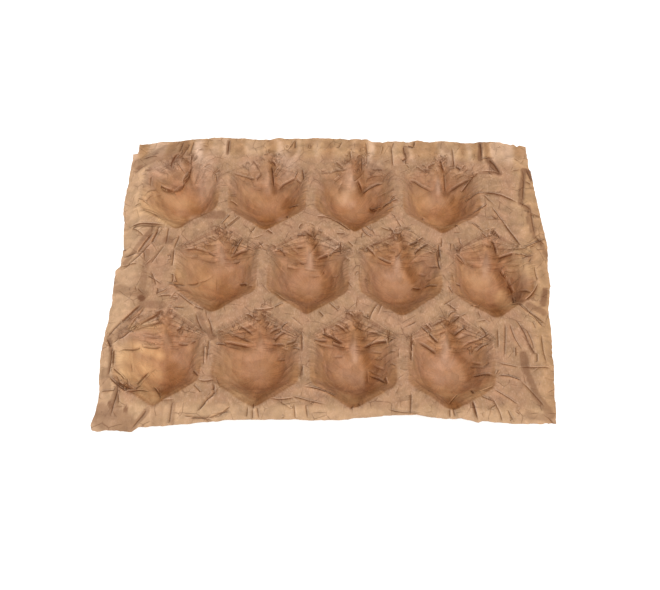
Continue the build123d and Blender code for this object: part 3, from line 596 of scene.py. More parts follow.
def stray_creases(centres):
    """Fine creases strewn over the lands and the margins, as cup_pleats gives its folds.

    Most margin creases run out to the edge. A crease that would cross a cup is left out.
    """
    rng = np.random.default_rng(7)
    half_length = 196
    half_width = 148
    margin_share = 0.86
    half_cup_width = 37
    half_cup_length = 44
    folds = []
    for k in range(STRAY_CREASES):
        x = rng.uniform(-half_length, half_length)
        y = rng.uniform(-142, 150)
        share_x = abs(x) / half_length
        share_y = abs(y) / half_width
        turn = rng.uniform(0, 2 * math.pi)
        if max(share_x, share_y) > margin_share:
            turn = (0 if share_x > share_y else math.pi / 2) + rng.normal(0, 0.6)
        reach = rng.uniform(3, 12) if k % 3 else rng.uniform(10, 34)
        far_x = x + reach * math.cos(turn)
        far_y = y + reach * math.sin(turn)
        gaps = []
        for place_x, place_y in ((x, y), (far_x, far_y), ((x + far_x) / 2, (y + far_y) / 2)):
            for centre_x, centre_y in centres:
                across = (place_x - centre_x) / half_cup_width
                gaps.append(math.hypot(across, (place_y - centre_y) / half_cup_length))
        if min(gaps) < 0.97:
            continue
        folds.append((
            x, y, far_x, far_y, rng.uniform(-0.7, 0.7), rng.uniform(0.9, 1.4), rng.uniform(0.1, 0.5),
            rng.choice((-1, 0, 1, 1)), rng.uniform(0.1, 0.85) ** 2,
        ))
    return folds


def sheet_folds(centres, shape):
    """Every fold of the sheet: those of the cups, those of the lands and margins, and the stray creases.

    Folds of the lands and margins lean to one side and the other in turn.
    """
    folds = []
    for number, centre in enumerate(centres):
        folds += cup_pleats(centre, number, shape)
    for places, width, depth, darkness in ((DEEP_FOLDS, 1.5, 0.9, 0.95), (LONG_FOLDS, 1.3, 0.55, 0.7)):
        folds += [(*place, width, depth, (-1) ** k, darkness) for k, place in enumerate(places)]
    return folds + stray_creases(centres)


def fold_field(x, y, folds):
    """Height that the folds add at each point, and for the finish the gap to the nearest fold of each set.

    A fold is a bowed line: its distance is measured square to its chord, less 4 b t (1 - t) for a bow b at
    the share t of the chord. A groove is a bell curve of that distance, and a leaning pleat the slope of
    one. A fold starts bluntly at one end and tapers off at the other, and a dark one tapers late.
    """
    blunt_share = 0.14
    taper_share = 0.65
    dark_taper_share = 0.3
    relief = np.zeros(x.shape)
    gaps = [np.full(x.shape, 9.0) for _ in range(FOLD_SETS)]
    darkness = [np.zeros(x.shape) for _ in range(FOLD_SETS)]
    for number, (x0, y0, x1, y1, bow, width, depth, lean, dark) in enumerate(folds):
        run = math.hypot(x1 - x0, y1 - y0)
        ahead_x = (x1 - x0) / run
        ahead_y = (y1 - y0) / run
        share = ((x - x0) * ahead_x + (y - y0) * ahead_y) / run
        across = (y - y0) * ahead_x - (x - x0) * ahead_y - 4 * bow * share * (1 - share)
        blunt, tapered = (share, 1 - share) if number % 2 else (1 - share, share)
        fade = ease(blunt / blunt_share) * ease(tapered / (taper_share if dark < 0.7 else dark_taper_share))
        bell = np.exp(-((across / width) ** 2))
        relief += depth * fade * (-bell if lean == 0 else 1.8 * lean * across / width * bell)
        k = number % FOLD_SETS
        nearer = (np.abs(across) < np.abs(gaps[k])) & (fade > 0.02) & (dark * fade > 0.5 * darkness[k])
        gaps[k] = np.where(nearer, across, gaps[k])
        darkness[k] = np.where(nearer, dark * fade, darkness[k])
    for k in range(FOLD_SETS):
        darkness[k] = darkness[k] * step(np.abs(gaps[k]), 2.8, -0.8)
    return relief, gaps, darkness


def strokes(x, y, marks, edge=1.0, roughness=1.0):
    """Marks along short lines: full near each line, and gone past 1.3 widths and half the soft edge."""
    total = np.zeros(x.shape)
    ragged = roughness * (0.25 * noise(x, y, 6, 31) + 0.2 * noise(x, y, 2.7, 32))
    for x0, y0, x1, y1, width, strength in marks:
        run = max(math.hypot(x1 - x0, y1 - y0), 1e-6)
        ahead_x = (x1 - x0) / run
        ahead_y = (y1 - y0) / run
        along = np.clip((x - x0) * ahead_x + (y - y0) * ahead_y, 0, run)
        gap = np.hypot(x - x0 - along * ahead_x, y - y0 - along * ahead_y) + ragged * width
        total = np.maximum(total, strength * ease((1.3 + edge / 2 - gap / width) / (1.6 * edge)))
    return total


def sheet_grid(columns, rows):
    """Grid of points inside the torn outline.

    It is a plain rectangle whose points move out with the nearest edges, less and less over a band inside.
    """
    x, y = np.meshgrid(np.linspace(LOW_X, HIGH_X, columns + 1), np.linspace(LOW_Y, HIGH_Y, rows + 1))
    edges = (
        (LEFT_EDGE, y, LOW_X, x - LOW_X, 11),
        (RIGHT_EDGE, y, HIGH_X, HIGH_X - x, 12),
        (FRONT_EDGE, x, LOW_Y, y - LOW_Y, 13),
        (BACK_EDGE, x, HIGH_Y, HIGH_Y - y, 14),
    )
    moves = []
    for points, along, plain, inside, seed in edges:
        places, values = zip(*points)
        torn = np.interp(along, places, values) + 0.3 * noise(along, 0 * along, 2.6, seed)
        torn = torn + 0.25 * noise(along, 0 * along, 7, seed + 10)
        moves.append((torn - plain) * (1 - ease(inside / EDGE_BAND)))
    return x + moves[0] + moves[1], y + moves[2] + moves[3]


def edge_rise(x, y):
    """Rise of the margins over the lands: from none at the outer cups to the edge's own rise."""
    half_length = 195
    share_x = (x + half_length) / (2 * half_length)
    share_y = (y - LOW_Y) / (HIGH_Y - LOW_Y)
    total = 0
    weights = 0
    for rises, share, near in (
        (RIGHT_RISE, share_y, step(x, 178, 18)),
        (LEFT_RISE, 1 - share_y, step(x, -172, -24)),
        (BACK_RISE, 1 - share_x, step(y, 128, 22)),
        (FRONT_RISE, share_x, step(y, -126, -18)),
    ):
        total = total + near * np.interp(share, np.linspace(0, 1, len(rises)), rises)
        weights = weights + near
    return total / np.maximum(weights, 1)


def blurred(values, reach):
    """Mean of the values within a few steps of each grid point."""
    padded = np.pad(values, reach, mode="edge")
    rows, columns = values.shape
    total = np.zeros(values.shape)
    for i in range(2 * reach + 1):
        for j in range(2 * reach + 1):
            total += padded[i : i + rows, j : j + columns]
    return total / (2 * reach + 1) ** 2


def nearest_cups(x, y, shape, centres):
    """For each point: its nearest cup's number, its place in that cup, and the drop of the cup's wall there.

    Inside is the distance within the rim in millimetres, negative outside it, and second is that of the next
    nearest cup. Turn runs round the cup, and crisp is 1 at the front, where the rim is a sharp edge.
    """
    depth = shape.cup_depth / MM
    turn_scale = 36
    turn_offset = 300
    waviness = 0.7 * noise(x, y, 11, 51) + 0.6 * noise(x, y, 4.5, 52)
    far = np.full(x.shape, -1e9)
    near = {name: np.zeros(x.shape) for name in ("x", "y", "turn", "crisp", "drop", "number")}
    near.update(inside=far, second=far)
    for number, (centre_x, centre_y) in enumerate(centres):
        dx = x - centre_x
        dy = y - centre_y
        radius = np.hypot(dx, dy)
        rim = rim_radius(dx, dy, shape) + waviness
        front = ease(0.5 - 1.2 * dy / rim)
        found = {
            "x": dx,
            "y": dy,
            "turn": np.arctan2(dx, -dy) * turn_scale + turn_offset * number,
            "crisp": front,
            "drop": wall_drop(radius, rim, depth, front),
            "number": number,
            "inside": rim - radius,
        }
        here = found["inside"] > near["inside"]
        near["second"] = np.where(here, near["inside"], np.maximum(near["second"], found["inside"]))
        for name, values in found.items():
            near[name] = np.where(here, values, near[name])
    # A crushed wall is pressed up by a smooth step across the line of its dent, but for its rim
    rim_band = 9
    for number, x0, y0, x1, y1, width, height in DENTS:
        across = ((near["y"] - y0) * (x1 - x0) - (near["x"] - x0) * (y1 - y0)) / math.hypot(x1 - x0, y1 - y0)
        dent = (near["number"] == number) * height * ease(across / width)
        dent = dent * step(near["inside"], 0, rim_band)
        near["drop"] = np.maximum(near["drop"] - dent, 0)
    return near


def gather_fields(near):
    """Fields that the finish draws its finest pleats and creases along, and how strong they are."""
    local_x, local_y, inside = near["x"], near["y"], near["inside"]
    # Fine pleats run across the back of a cup in a fan that narrows towards its left and right corners
    fan = np.arctan2(local_y - 15, np.maximum(46 - np.abs(local_x), 4)) * 40 + 37 * np.sign(local_x)
    gathers = step(inside, -7, 7) * step(local_y, 15, 6) * step(np.abs(local_x), 48, -14)
    gathers = gathers * step(np.abs(local_x), 1, 3) * (1 - 0.65 * near["back_row"])
    # Short creases cross a rim square to it, and fade before the middle of the land
    split = np.where(local_y > 0, step(np.abs(local_x), 1, 2), 1)
    rays = step(inside, -8, 6) * step(inside, 9, -8) * step(inside - near["second"], 1, 3) * split
    return {"fan": fan, "gathers": gathers, "rays": rays, "turn": near["turn"], "inside": inside}


def tone_fields(x, y, near, channel, tongue, ledge, bands):
    """Shares of the painted shade, of the pale tone with its painted highlights, and of the cups' colour at
    each point.
    """
    local_x, local_y, inside, back_row = near["x"], near["y"], near["inside"], near["back_row"]
    radius = np.hypot(local_x, local_y)
    within = step(inside, -0.8, 1.2)
    # Painted shade makes the front wall of a cup, its deep middle, its front tip, channels and ledge browner;
    # the back and right margins are browner too
    front = ease((0.2 * local_x - 0.98 * local_y) / np.maximum(radius, 1) * 0.85 + 0.1) * within
    front = front * step(radius, 6, 30)
    deep_shade = step(near["sunk"], 0.5, 0.45) * (1 - 0.8 * tongue)
    tip = np.exp(-(((local_x - 2) / 8) ** 2)) * step(local_y, -18, -15) * within
    shade = 0.6 * channel + 0.4 * front + (0.48 + 0.14 * back_row) * deep_shade + 0.4 * tip + 0.08 * ledge
    # Painted light and shade on the bands of the back margin: less shade where they are raised, more between
    # them
    shade = shade - 0.4 * bands * step(inside, 0, -2)
    shade = shade + 0.22 * step(y, 126, 12) + 0.28 * step(x, 176, 10)
    # Painted highlights on the tongues and the bowls in front, and painted light on the raised bands of
    # doubled paper; two of the margins are paler
    bowl_highlight = np.exp(-((local_x + 4) ** 2 + (local_y - 9) ** 2) / 170)
    light = np.maximum(0.64 * tongue, 0.1 * (1 - back_row) * bowl_highlight) * (1 - channel) + 0.6 * bands
    light = light + 0.2 * step(x, -170, -10) + 0.14 * step(y, -126, -10)
    # The back walls keep the tone of the lands, most of all in the back row, which has few pleats
    upper = step(local_y, 10, 12)
    sunk = step(near["sunk"], 0, 0.4) * (1 - upper * (0.3 + 0.4 * back_row))
    # The cups' deeper tone is partly the stretched paper and partly painted shade
    cup = np.maximum(near["crisp"] * step(inside, -1.2, 1.4), sunk)
    return {"shade": np.clip(shade, 0, 1), "light": np.clip(light, 0, 1), "cup": cup}


def press_sheet(shape, columns, rows):
    """Upper face of the pressed paper: its points, smooth height, detail, and the fields of the finish."""
    x, y = sheet_grid(columns, rows)
    centres = cup_centres(shape)
    depth = shape.cup_depth / MM
    near = nearest_cups(x, y, shape, centres)
    near["sunk"] = near["drop"] / depth
    near["back_row"] = step(y, 40, 6)
    local_x, local_y, inside = near["x"], near["y"], near["inside"]
    land = step(inside, 3.0, -8)
    margin = step(np.abs(x - 0.7), 168, 16) + step(y, 124, 12) + step(y, -122, -12)
    margin = np.clip(margin, 0, 1) * land

    # Marks of each cup: channels with painted shade, and tongues with painted highlights
    channels = []
    tongues = []
    tongue_spread = 1.35
    for number, centre in enumerate(centres):
        channels += [moved(centre, mark) for mark in CUP_SHADES[number]]
        for *ends, width, strength in CUP_TONGUES[number]:
            tongues.append(moved(centre, (*ends, width * tongue_spread, strength)))
    # Painted glow: a warm colour standing in for light coming through thin paper
    glows = [moved(centres[number], mark) for number, *mark in CUP_GLOWS]
    channel = strokes(x, y, channels)
    tongue = strokes(x, y, tongues, 1.5)

    # The pleats end on a ledge across the cup, which is split by the tongue and the channel beside it
    ledge = ease((local_y - 19 - 1.5 * noise(x, y, 8, 9)) / 2.5) * step(inside, 0, 8)
    ledge = ledge * ease((np.abs(local_x - 0.12 * (31 - local_y)) - 0.42 * (32 - local_y)) / 2.5 + 0.5)
    relief, gaps, darkness = fold_field(x, y, sheet_folds(centres, shape))
    sag = 0.7 * noise(x, y, 45, 1) * land + 0.5 * noise(x, y, 16, 2)
    large_facets = 2.0 * dimples(x, y, 27, 3) - 1.6 * dimples(x, y, 19, 4)
    small_facets = 1.2 * dimples(x, y, 11, 5) - 1.2 * dimples(x, y, 8, 6)
    crumple = large_facets * (0.25 + 1.3 * margin) + small_facets * (0.3 + 0.5 * land)
    # The doubled paper of the back margin shows in bands, drawn out five times from front to back
    bands = noise(x + 4 * noise(x, y, 20, 42), y / 5, 7, 41) * step(y, 118, 14)
    wall = step(inside, 0, 6) * step(inside, 30, -8)
    detail = relief + 1.6 * ledge - 1.7 * channel * step(local_y, -4, 10) + sag
    detail = detail + crumple * (0.3 + 0.7 * land)
    detail = detail + 0.25 * wall * noise(near["turn"], inside, 4, 8) + 0.6 * bands

    smooth = depth + shape.paper / MM - near["drop"] + edge_rise(x, y)
    # Painted shade in the hollows of the detail and painted highlight on its ridges
    hollow = (detail - blurred(detail, 3)) / 0.7
    sheet = {
        "x": x,
        "y": y,
        "smooth": smooth,
        "detail": detail,
        "margin": margin,
        "hollow": np.clip(hollow, -1, 1),
        "stain": strokes(x, y, STAINS, 0.3, 0.6),
        "glow": strokes(x, y, glows, 1.4),
    }
    for k in range(FOLD_SETS):
        sheet[f"gap_{k}"] = gaps[k]
        sheet[f"dark_{k}"] = darkness[k]
    sheet.update(gather_fields(near))
    sheet.update(tone_fields(x, y, near, channel, tongue, ledge, bands))
    return sheet


def grid_faces(columns, rows, first, upward):
    """Quads of a grid of points whose numbers start at first, row by row."""
    corner = first + np.arange(rows)[:, None] * (columns + 1) + np.arange(columns)[None, :]
    quads = np.stack([corner, corner + 1, corner + columns + 2, corner + columns + 1], axis=-1)
    quads = quads.reshape(-1, 4)
    return quads if upward else quads[:, ::-1]


def border_ring(columns, rows, first):
    """Numbers of a grid's border points, anticlockwise from its front left corner."""
    number = first + np.arange((columns + 1) * (rows + 1)).reshape(rows + 1, columns + 1)
    return np.concatenate([number[0, :-1], number[:-1, -1], number[-1, :0:-1], number[:0:-1, 0]])


def lowest_nearby(values, reach):
    """Lowest value within a few steps of each grid point."""
    padded = np.pad(values, reach, mode="edge")
    rows, columns = values.shape
    lowest = values
    for i in range(2 * reach + 1):
        for j in range(2 * reach + 1):
            lowest = np.minimum(lowest, padded[i : i + rows, j : j + columns])
    return lowest


def face_normals(x, y, z):
    """Unit normals of a grid of points: the cross product of its steps along both directions."""
    points = np.stack([x, y, z], axis=-1)
    normal = np.cross(np.gradient(points, axis=1), np.gradient(points, axis=0))
    return normal / np.linalg.norm(normal, axis=-1, keepdims=True)


def make_mesh(name, points, quads, triangles):
    """A smooth-shaded mesh from points in millimetres and two arrays of faces."""
    mesh = bpy.data.meshes.new(name)
    mesh.vertices.add(len(points))
    mesh.vertices.foreach_set("co", (points * MM).astype(np.float32).ravel())
    mesh.loops.add(quads.size + triangles.size)
    corners = np.concatenate([quads.ravel(), triangles.ravel()])
    mesh.loops.foreach_set("vertex_index", corners.astype(np.int32))
    starts = np.concatenate([np.arange(len(quads)) * 4, quads.size + np.arange(len(triangles)) * 3])
    mesh.polygons.add(len(starts))
    mesh.polygons.foreach_set("loop_start", starts.astype(np.int32))
    mesh.polygons.foreach_set("use_smooth", np.ones(len(starts), bool))
    mesh.update(calc_edges=True)
    mesh.validate()
    return mesh


def paper_mesh(shape):
    """Mesh of the paper: a fine upper face, a lower face of half as many points each way, and the torn edge.

    The lower face is the smooth form, moved one thickness of paper along its normal. It is held under the
    details of the upper face and above the floor, and its border lies one thickness under the upper one.
    """
    thickness = shape.paper / MM
    lowest = 0.5
    columns = shape.cells // 2 * 2
    rows = round(columns * (HIGH_Y - LOW_Y) / (HIGH_X - LOW_X) / 2) * 2
    sheet = press_sheet(shape, columns, rows)
    half = (slice(None, None, 2), slice(None, None, 2))
    x, y, smooth, detail = (sheet[name] for name in ("x", "y", "smooth", "detail"))
    top = np.stack([x, y, np.maximum(smooth + detail, lowest)], axis=-1)
    low = smooth + np.minimum(lowest_nearby(detail, 2), 0)
    base = np.stack([x, y, low], axis=-1)[half] - face_normals(x, y, smooth)[half] * thickness
    base[..., 2] = np.maximum(base[..., 2], 0)
    ring = np.zeros(base.shape[:2], bool)
    ring[[0, -1], :] = True
    ring[:, [0, -1]] = True
    base[ring] = top[half][ring] - (0, 0, thickness)

    first = top.shape[0] * top.shape[1]
    points = np.concatenate([top.reshape(-1, 3), base.reshape(-1, 3)])
    upper_faces = grid_faces(columns, rows, 0, True)
    lower_faces = grid_faces(columns // 2, rows // 2, first, False)
    fine = border_ring(columns, rows, 0)
    under = border_ring(columns // 2, rows // 2, first)
    before, middle, after = fine[::2], fine[1::2], np.roll(fine, -2)[::2]
    following = np.roll(under, -1)
    triangles = np.concatenate([
        np.stack([before, under, middle], -1),
        np.stack([middle, under, following], -1),
        np.stack([middle, following, after], -1),
    ])
    mesh = make_mesh("tray_paper", points, np.concatenate([upper_faces, lower_faces]), triangles)
    for name, fields in ATTRIBUTES.items():
        values = np.stack([sheet[field] for field in fields], axis=-1)
        values = np.concatenate([values.reshape(-1, 3), values[half].reshape(-1, 3)]).astype(np.float32)
        mesh.attributes.new(name, "FLOAT_VECTOR", "POINT").data.foreach_set("vector", values.ravel())
    mesh.set_sharp_from_angle(angle=math.radians(70))
    return mesh


def add_node(tree, kind, sockets, **settings):
    """Adds a shader node with its settings, gives each socket a value or a link, and returns its outputs."""
    made = tree.nodes.new("ShaderNode" + kind)
    for name, value in settings.items():
        setattr(made, name, value)
    for socket, value in sockets.items():
        if isinstance(value, bpy.types.NodeSocket):
            tree.links.new(value, made.inputs[socket])
        else:
            made.inputs[socket].default_value = value
    return made.outputs


def new_material(name):
    """An empty node material, and the function that adds a node to it."""
    material = bpy.data.materials.new(name)
    material.use_nodes = True
    material.node_tree.nodes.clear()
    return material, partial(add_node, material.node_tree)


def kraft_paper_material(finish):
    """Unbleached kraft paper, pressed damp: matt, with short fibres, soft blotches and dark creases, and with
    painted shade, highlights and glow.
    """
    material, add = new_material("kraft_paper")
    smooth = {"interpolation_type": "SMOOTHSTEP"}
    place = add("TexCoord", {})["Object"]
    field = {}
    for name, fields in ATTRIBUTES.items():
        vector = add("Attribute", {}, attribute_name=name)["Vector"]
        field.update(zip(fields, add("SeparateXYZ", {0: vector})))

    # Patterns of the pulp: size in millimetres, detail, stretch along and across the sheet, and seed. The
    # fibres and the nap are as coarse as they have to be to show.
    for name, size, detail, along, across, seed in (
        ("blotch", 18, 3, 1, 1, 0),
        ("spot", 1.6, 4, 0.7, 1.6, 7),
        ("mottle", 9, 6, 1, 1, 3),
        ("fibre", 0.9, 3, 2.4, 0.8, 5),
        ("worn", 12, 2, 1, 1, 8),
        ("cockle", 4.0, 3, 1, 1, 9),
        ("nap", 0.8, 2, 2.2, 0.8, 5),
    ):
        scale = [1 / (size * MM * stretch) for stretch in (along, across, 1)]
        spot = add("Mapping", {"Vector": place, "Scale": scale, "Location": (seed, seed, 0)})[0]
        pattern = {"Vector": spot, "Scale": 1.0, "Detail": detail, "Roughness": 0.6}
        field[name] = add("TexNoise", pattern)["Fac"]

    # Facets of crumpled paper, about 7 mm wide, each a little lighter or darker as painted shade of a tilted
    # facet, and a net of cracks with cells of 15 mm, darkened partly as crease marks and partly as painted
    # shade
    crack_place = add("Mapping", {"Vector": place, "Scale": [1 / (15 * MM)] * 3})[0]
    bent = add("TexNoise", {"Vector": crack_place, "Scale": 1.1, "Detail": 3.0})["Color"]
    crack_place = add("Mix", {0: 0.16, 4: crack_place, 5: bent}, data_type="VECTOR")[1]
    cells = add("TexVoronoi", {"Vector": crack_place, "Scale": 2.1}, feature="F1")
    net = add("TexVoronoi", {"Vector": crack_place, "Scale": 1.0}, feature="DISTANCE_TO_EDGE")
    field["facet"] = add("SeparateColor", {0: cells["Color"]})[0]

    # Patterns as shares or factors: eased from low to high, to two values. Land is the reverse of cup.
    field["net"] = net["Distance"]
    field["land"] = field["cup"]
    for name, low, high, out_low, out_high in (
        ("blotch", 0.35, 0.65, 0.0, 1.0),
        ("spot", 0.48, 0.72, 0.0, 1.0),
        ("mottle", 0.3, 0.7, 0.93, 1.06),
        ("facet", 0.0, 1.0, 0.93, 1.06),
        ("fibre", 0.25, 0.75, 0.95, 1.05),
        ("worn", 0.42, 0.62, 0.0, 1.0),
        ("net", 0.0, 0.025, 1.0, 0.0),
        ("land", 0.6, 0.0, 0.0, 1.0),
    ):
        sockets = {0: field[name], 1: low, 2: high, 3: out_low, 4: out_high}
        field[name] = add("MapRange", sockets, **smooth)[0]

    # Folds of the sets: a dark line along each, partly a crease mark and partly painted shadow, a painted
    # highlight as a pale edge beside it and painted soft shade on the other side
    field.update(line=0.0, edge=0.0, side=0.0)
    for k in range(FOLD_SETS):
        gap = field[f"gap_{k}"]
        dark = field[f"dark_{k}"]
        distance = add("Math", {0: gap}, operation="ABSOLUTE")[0]
        width = add("Math", {0: dark, 1: 0.5, 2: 0.26}, operation="MULTIPLY_ADD")[0]
        core = add("MapRange", {0: distance, 1: 0.05, 2: width, 3: 1.0, 4: 0.0}, **smooth)[0]
        beside = add("Math", {0: gap, 1: 1.25}, operation="SUBTRACT")[0]
        beside = add("Math", {0: beside}, operation="ABSOLUTE")[0]
        highlight_edge = add("MapRange", {0: beside, 1: 0.0, 2: 0.7, 3: 1.0, 4: 0.0}, **smooth)[0]
        rising = add("MapRange", {0: gap, 1: -2.7, 2: -0.1, 3: 0.0, 4: 1.0}, **smooth)[0]
        falling = add("MapRange", {0: gap, 1: 0.0, 2: 0.6, 3: 1.0, 4: 0.0}, **smooth)[0]
        shaded = add("Math", {0: rising, 1: falling}, operation="MULTIPLY")[0]
        for name, mark in (("line", core), ("edge", highlight_edge), ("side", shaded)):
            strength = add("Math", {0: mark, 1: dark}, operation="MULTIPLY")[0]
            field[name] = add("Math", {0: field[name], 1: strength}, operation="MAXIMUM")[0]

    # Finest pleats, drawn out along the fan at the back of a cup, and rays that cross its rim. Their lift
    # also makes the colour paler where raised and darker where low, as painted light and shade, and a dark
    # line, partly painted shadow, runs along each
    crests = []
    lifts = []
    for across, strength, scale in (("fan", "gathers", 0.42), ("turn", "rays", 0.30)):
        mask = field[strength]
        spot = add("CombineXYZ", {0: field[across], 1: field["inside"]})[0]
        spot = add("Mapping", {"Vector": spot, "Scale": (scale, 0.045, 1.0)})[0]
        wave = add("TexNoise", {"Vector": spot, "Scale": 1.0, "Detail": 1.5, "Roughness": 0.5})["Fac"]
        wave = add("Math", {0: wave, 1: 0.5}, operation="SUBTRACT")[0]
        lifts.append(add("Math", {0: wave, 1: mask}, operation="MULTIPLY")[0])
        crest = add("Math", {0: wave}, operation="ABSOLUTE")[0]
        crest = add("MapRange", {0: crest, 1: 0.0, 2: 0.035, 3: 1.0, 4: 0.0}, **smooth)[0]
        crests.append(add("Math", {0: crest, 1: mask}, operation="MULTIPLY")[0])
    pleat, ray = crests
    pleat_lift, ray_lift = lifts

    # Streaks down the walls of the cups, strongest where they are shaded; their tone follows their relief, as
    # painted light and shade
    around = add("CombineXYZ", {0: field["turn"], 1: field["inside"]})[0]
    around = add("Mapping", {"Vector": around, "Scale": (0.38, 0.03, 1.0)})[0]
    streak = add("TexNoise", {"Vector": around, "Scale": 1.0, "Detail": 4.0, "Roughness": 0.65})["Fac"]
    streak = add("Math", {0: streak, 1: 0.5}, operation="SUBTRACT")[0]
    streak_share = add("Math", {0: field["shade"], 1: 0.8, 2: 0.3}, operation="MULTIPLY_ADD")[0]
    for part in (streak, field["cup"]):
        streak_share = add("Math", {0: streak_share, 1: part}, operation="MULTIPLY")[0]

    # Factors on the colour: each is the value times its share, plus its base
    tone = 1.0
    for value, share, base in (
        (field["mottle"], 1.0, 0.0),
        # Painted shade: each facet lighter or darker as if tilted to the light
        (field["facet"], 1.0, 0.0),
        (field["fibre"], 1.0, 0.0),
        # Painted light and shade of the streaks
        (streak_share, 0.9, 1.0),
        # Painted shade in hollows and painted highlight on ridges
        (field["hollow"], 0.2, 1.0),
        # Painted light and shade on the finest pleats and rays
        (pleat_lift, 0.4, 1.0),
        (ray_lift, 0.4, 1.0),
    ):
        factor = add("Math", {0: value, 1: share, 2: base}, operation="MULTIPLY_ADD")[0]
        tone = add("Math", {0: tone, 1: factor}, operation="MULTIPLY")[0]
    grey = add("CombineColor", {0: tone, 1: tone, 2: tone})[0]

    # Colours laid over one another: where, how strongly, which, and how
    blotch_share = add("Math", {0: field["margin"], 1: -0.3, 2: 0.5}, operation="MULTIPLY_ADD")[0]
    blotch_share = add("Math", {0: field["blotch"], 1: blotch_share}, operation="MULTIPLY")[0]
    spot_share = add("Math", {0: field["land"], 1: 0.2, 2: 0.1}, operation="MULTIPLY_ADD")[0]
    spot_share = add("Math", {0: field["spot"], 1: spot_share}, operation="MULTIPLY")[0]
    # Dark cracks: partly crease marks, partly painted shade
    crack = field["net"]
    for part in (field["worn"], field["land"]):
        crack = add("Math", {0: crack, 1: part}, operation="MULTIPLY")[0]
    colour = finish.land_colour
    for mask, strength, over, blend in (
        (field["margin"], 1.0, finish.margin_colour, "MIX"),
        # Deeper tone in the cups: partly the stretched paper, partly painted shade
        (field["cup"], 1.0, finish.cup_tone_and_shade_colour, "MIX"),
        (blotch_share, 1.0, finish.pink_colour, "MIX"),
        (spot_share, 1.0, finish.pale_and_highlight_colour, "MIX"),
        # Painted highlights on the tongues, bowls and raised bands; two margins are paler
        (field["light"], 0.8, finish.pale_and_highlight_colour, "MIX"),
        # Painted highlight beside each fold
        (field["edge"], 0.5, finish.pale_and_highlight_colour, "MIX"),
        # Painted shade in the channels, front walls, deep middles and front tips
        (field["shade"], 0.7, finish.shade_colour, "MIX"),
        # Painted soft shade on the other side of each fold
        (field["side"], 0.42, finish.shade_colour, "MIX"),
        (1.0, 1.0, grey, "MULTIPLY"),
        # Painted glow of light coming through thin paper
        (field["glow"], 0.85, finish.painted_glow_colour, "MIX"),
        (field["stain"], 0.8, finish.stain_colour, "MIX"),
        # Cracks, partly painted shade
        (crack, 0.4, finish.crease_mark_and_shadow_colour, "MIX"),
        # Dark lines of the finest pleats and rays, partly painted shadow
        (pleat, 0.36, finish.crease_mark_and_shadow_colour, "MIX"),
        (ray, 0.2, finish.crease_mark_and_shadow_colour, "MIX"),
        # Dark crease lines: partly crease marks, partly painted shadow
        (field["line"], 0.72, finish.crease_mark_and_shadow_colour, "MIX"),
    ):
        share = add("Math", {0: mask, 1: strength}, operation="MULTIPLY")[0]
        colour = add("Mix", {0: share, 6: colour, 7: over}, data_type="RGBA", blend_type=blend)[2]

    # Heights for the bump, in millimetres
    height = 0.0
    for value, size in (
        (cells["Distance"], 0.9),
        (field["cockle"], 0.35),
        (field["nap"], 0.09),
        (streak_share, 0.6),
        (pleat_lift, 2.2),
        (ray_lift, 1.6),
        (field["line"], -0.7),
        (field["edge"], 0.5),
        (crack, -0.3),
    ):
        height = add("Math", {0: value, 1: size, 2: height}, operation="MULTIPLY_ADD")[0]
    bump = add("Bump", {"Height": height, "Distance": MM, "Strength": 1.0})[0]
    paper = {"Base Color": colour, "Roughness": finish.roughness, "Specular IOR Level": 0.08, "Normal": bump}
    add("OutputMaterial", {"Surface": add("BsdfPrincipled", paper)[0]})
    return material


def seen_directly(tree):
    """Output that is 1 for rays of the camera, and for what metal and glass show of the surroundings."""
    path = add_node(tree, "LightPath", {})
    seen = path["Is Camera Ray"]
    for kind in ("Is Glossy Ray", "Is Transmission Ray"):
        seen = add_node(tree, "Math", {0: seen, 1: path[kind]}, operation="MAXIMUM")[0]
    return seen


def floor_material(finish):
    """Pale studio floor: matt, and as bright as the background to the camera but for the tray's shadow."""
    material, add = new_material("studio_floor")
    glow = add("Math", {0: seen_directly(material.node_tree), 1: finish.floor_glow}, operation="MULTIPLY")[0]
    matt = add("BsdfDiffuse", {"Color": finish.floor_colour})[0]
    light = add("Emission", {"Color": (1, 1, 1, 1), "Strength": glow})[0]
    add("OutputMaterial", {"Surface": add("AddShader", {0: matt, 1: light})[0]})
    return material


def add_floor(scene, finish):
    """A floor 6 metres wide under the tray."""
    reach = 3.0
    mesh = bpy.data.meshes.new("studio_floor")
    corners = [(-reach, -reach, 0), (reach, -reach, 0), (reach, reach, 0), (-reach, reach, 0)]
    mesh.from_pydata(corners, [], [(0, 1, 2, 3)])
    mesh.materials.append(floor_material(finish))
    floor = bpy.data.objects.new("studio_floor", mesh)
    scene.collection.objects.link(floor)


def add_lamp(scene, finish):
    """A broad, soft lamp over the front of the tray."""
    lamp = bpy.data.lights.new("key_lamp", "SUN")
    spread = 30
    toward = Vector((0.12, -0.38, 0.92))
    lamp.energy = finish.sun_strength
    lamp.angle = math.radians(spread)
    sun = bpy.data.objects.new("key_lamp", lamp)
    sun.rotation_euler = toward.to_track_quat("Z", "Y").to_euler()
    scene.collection.objects.link(sun)


def add_world(scene, finish):
    """A white world that lights the tray gently, and that the camera sees as plain white."""
    world = bpy.data.worlds.new("studio_world")
    world.use_nodes = True
    tree = world.node_tree
    tree.nodes.clear()
    seen = seen_directly(tree)
    strength = add_node(tree, "MapRange", {0: seen, 1: 0.0, 2: 1.0, 3: finish.world_strength, 4: 1.0})[0]
    light = add_node(tree, "Background", {"Color": (1, 1, 1, 1), "Strength": strength})[0]
    add_node(tree, "OutputWorld", {"Surface": light})
    scene.world = world


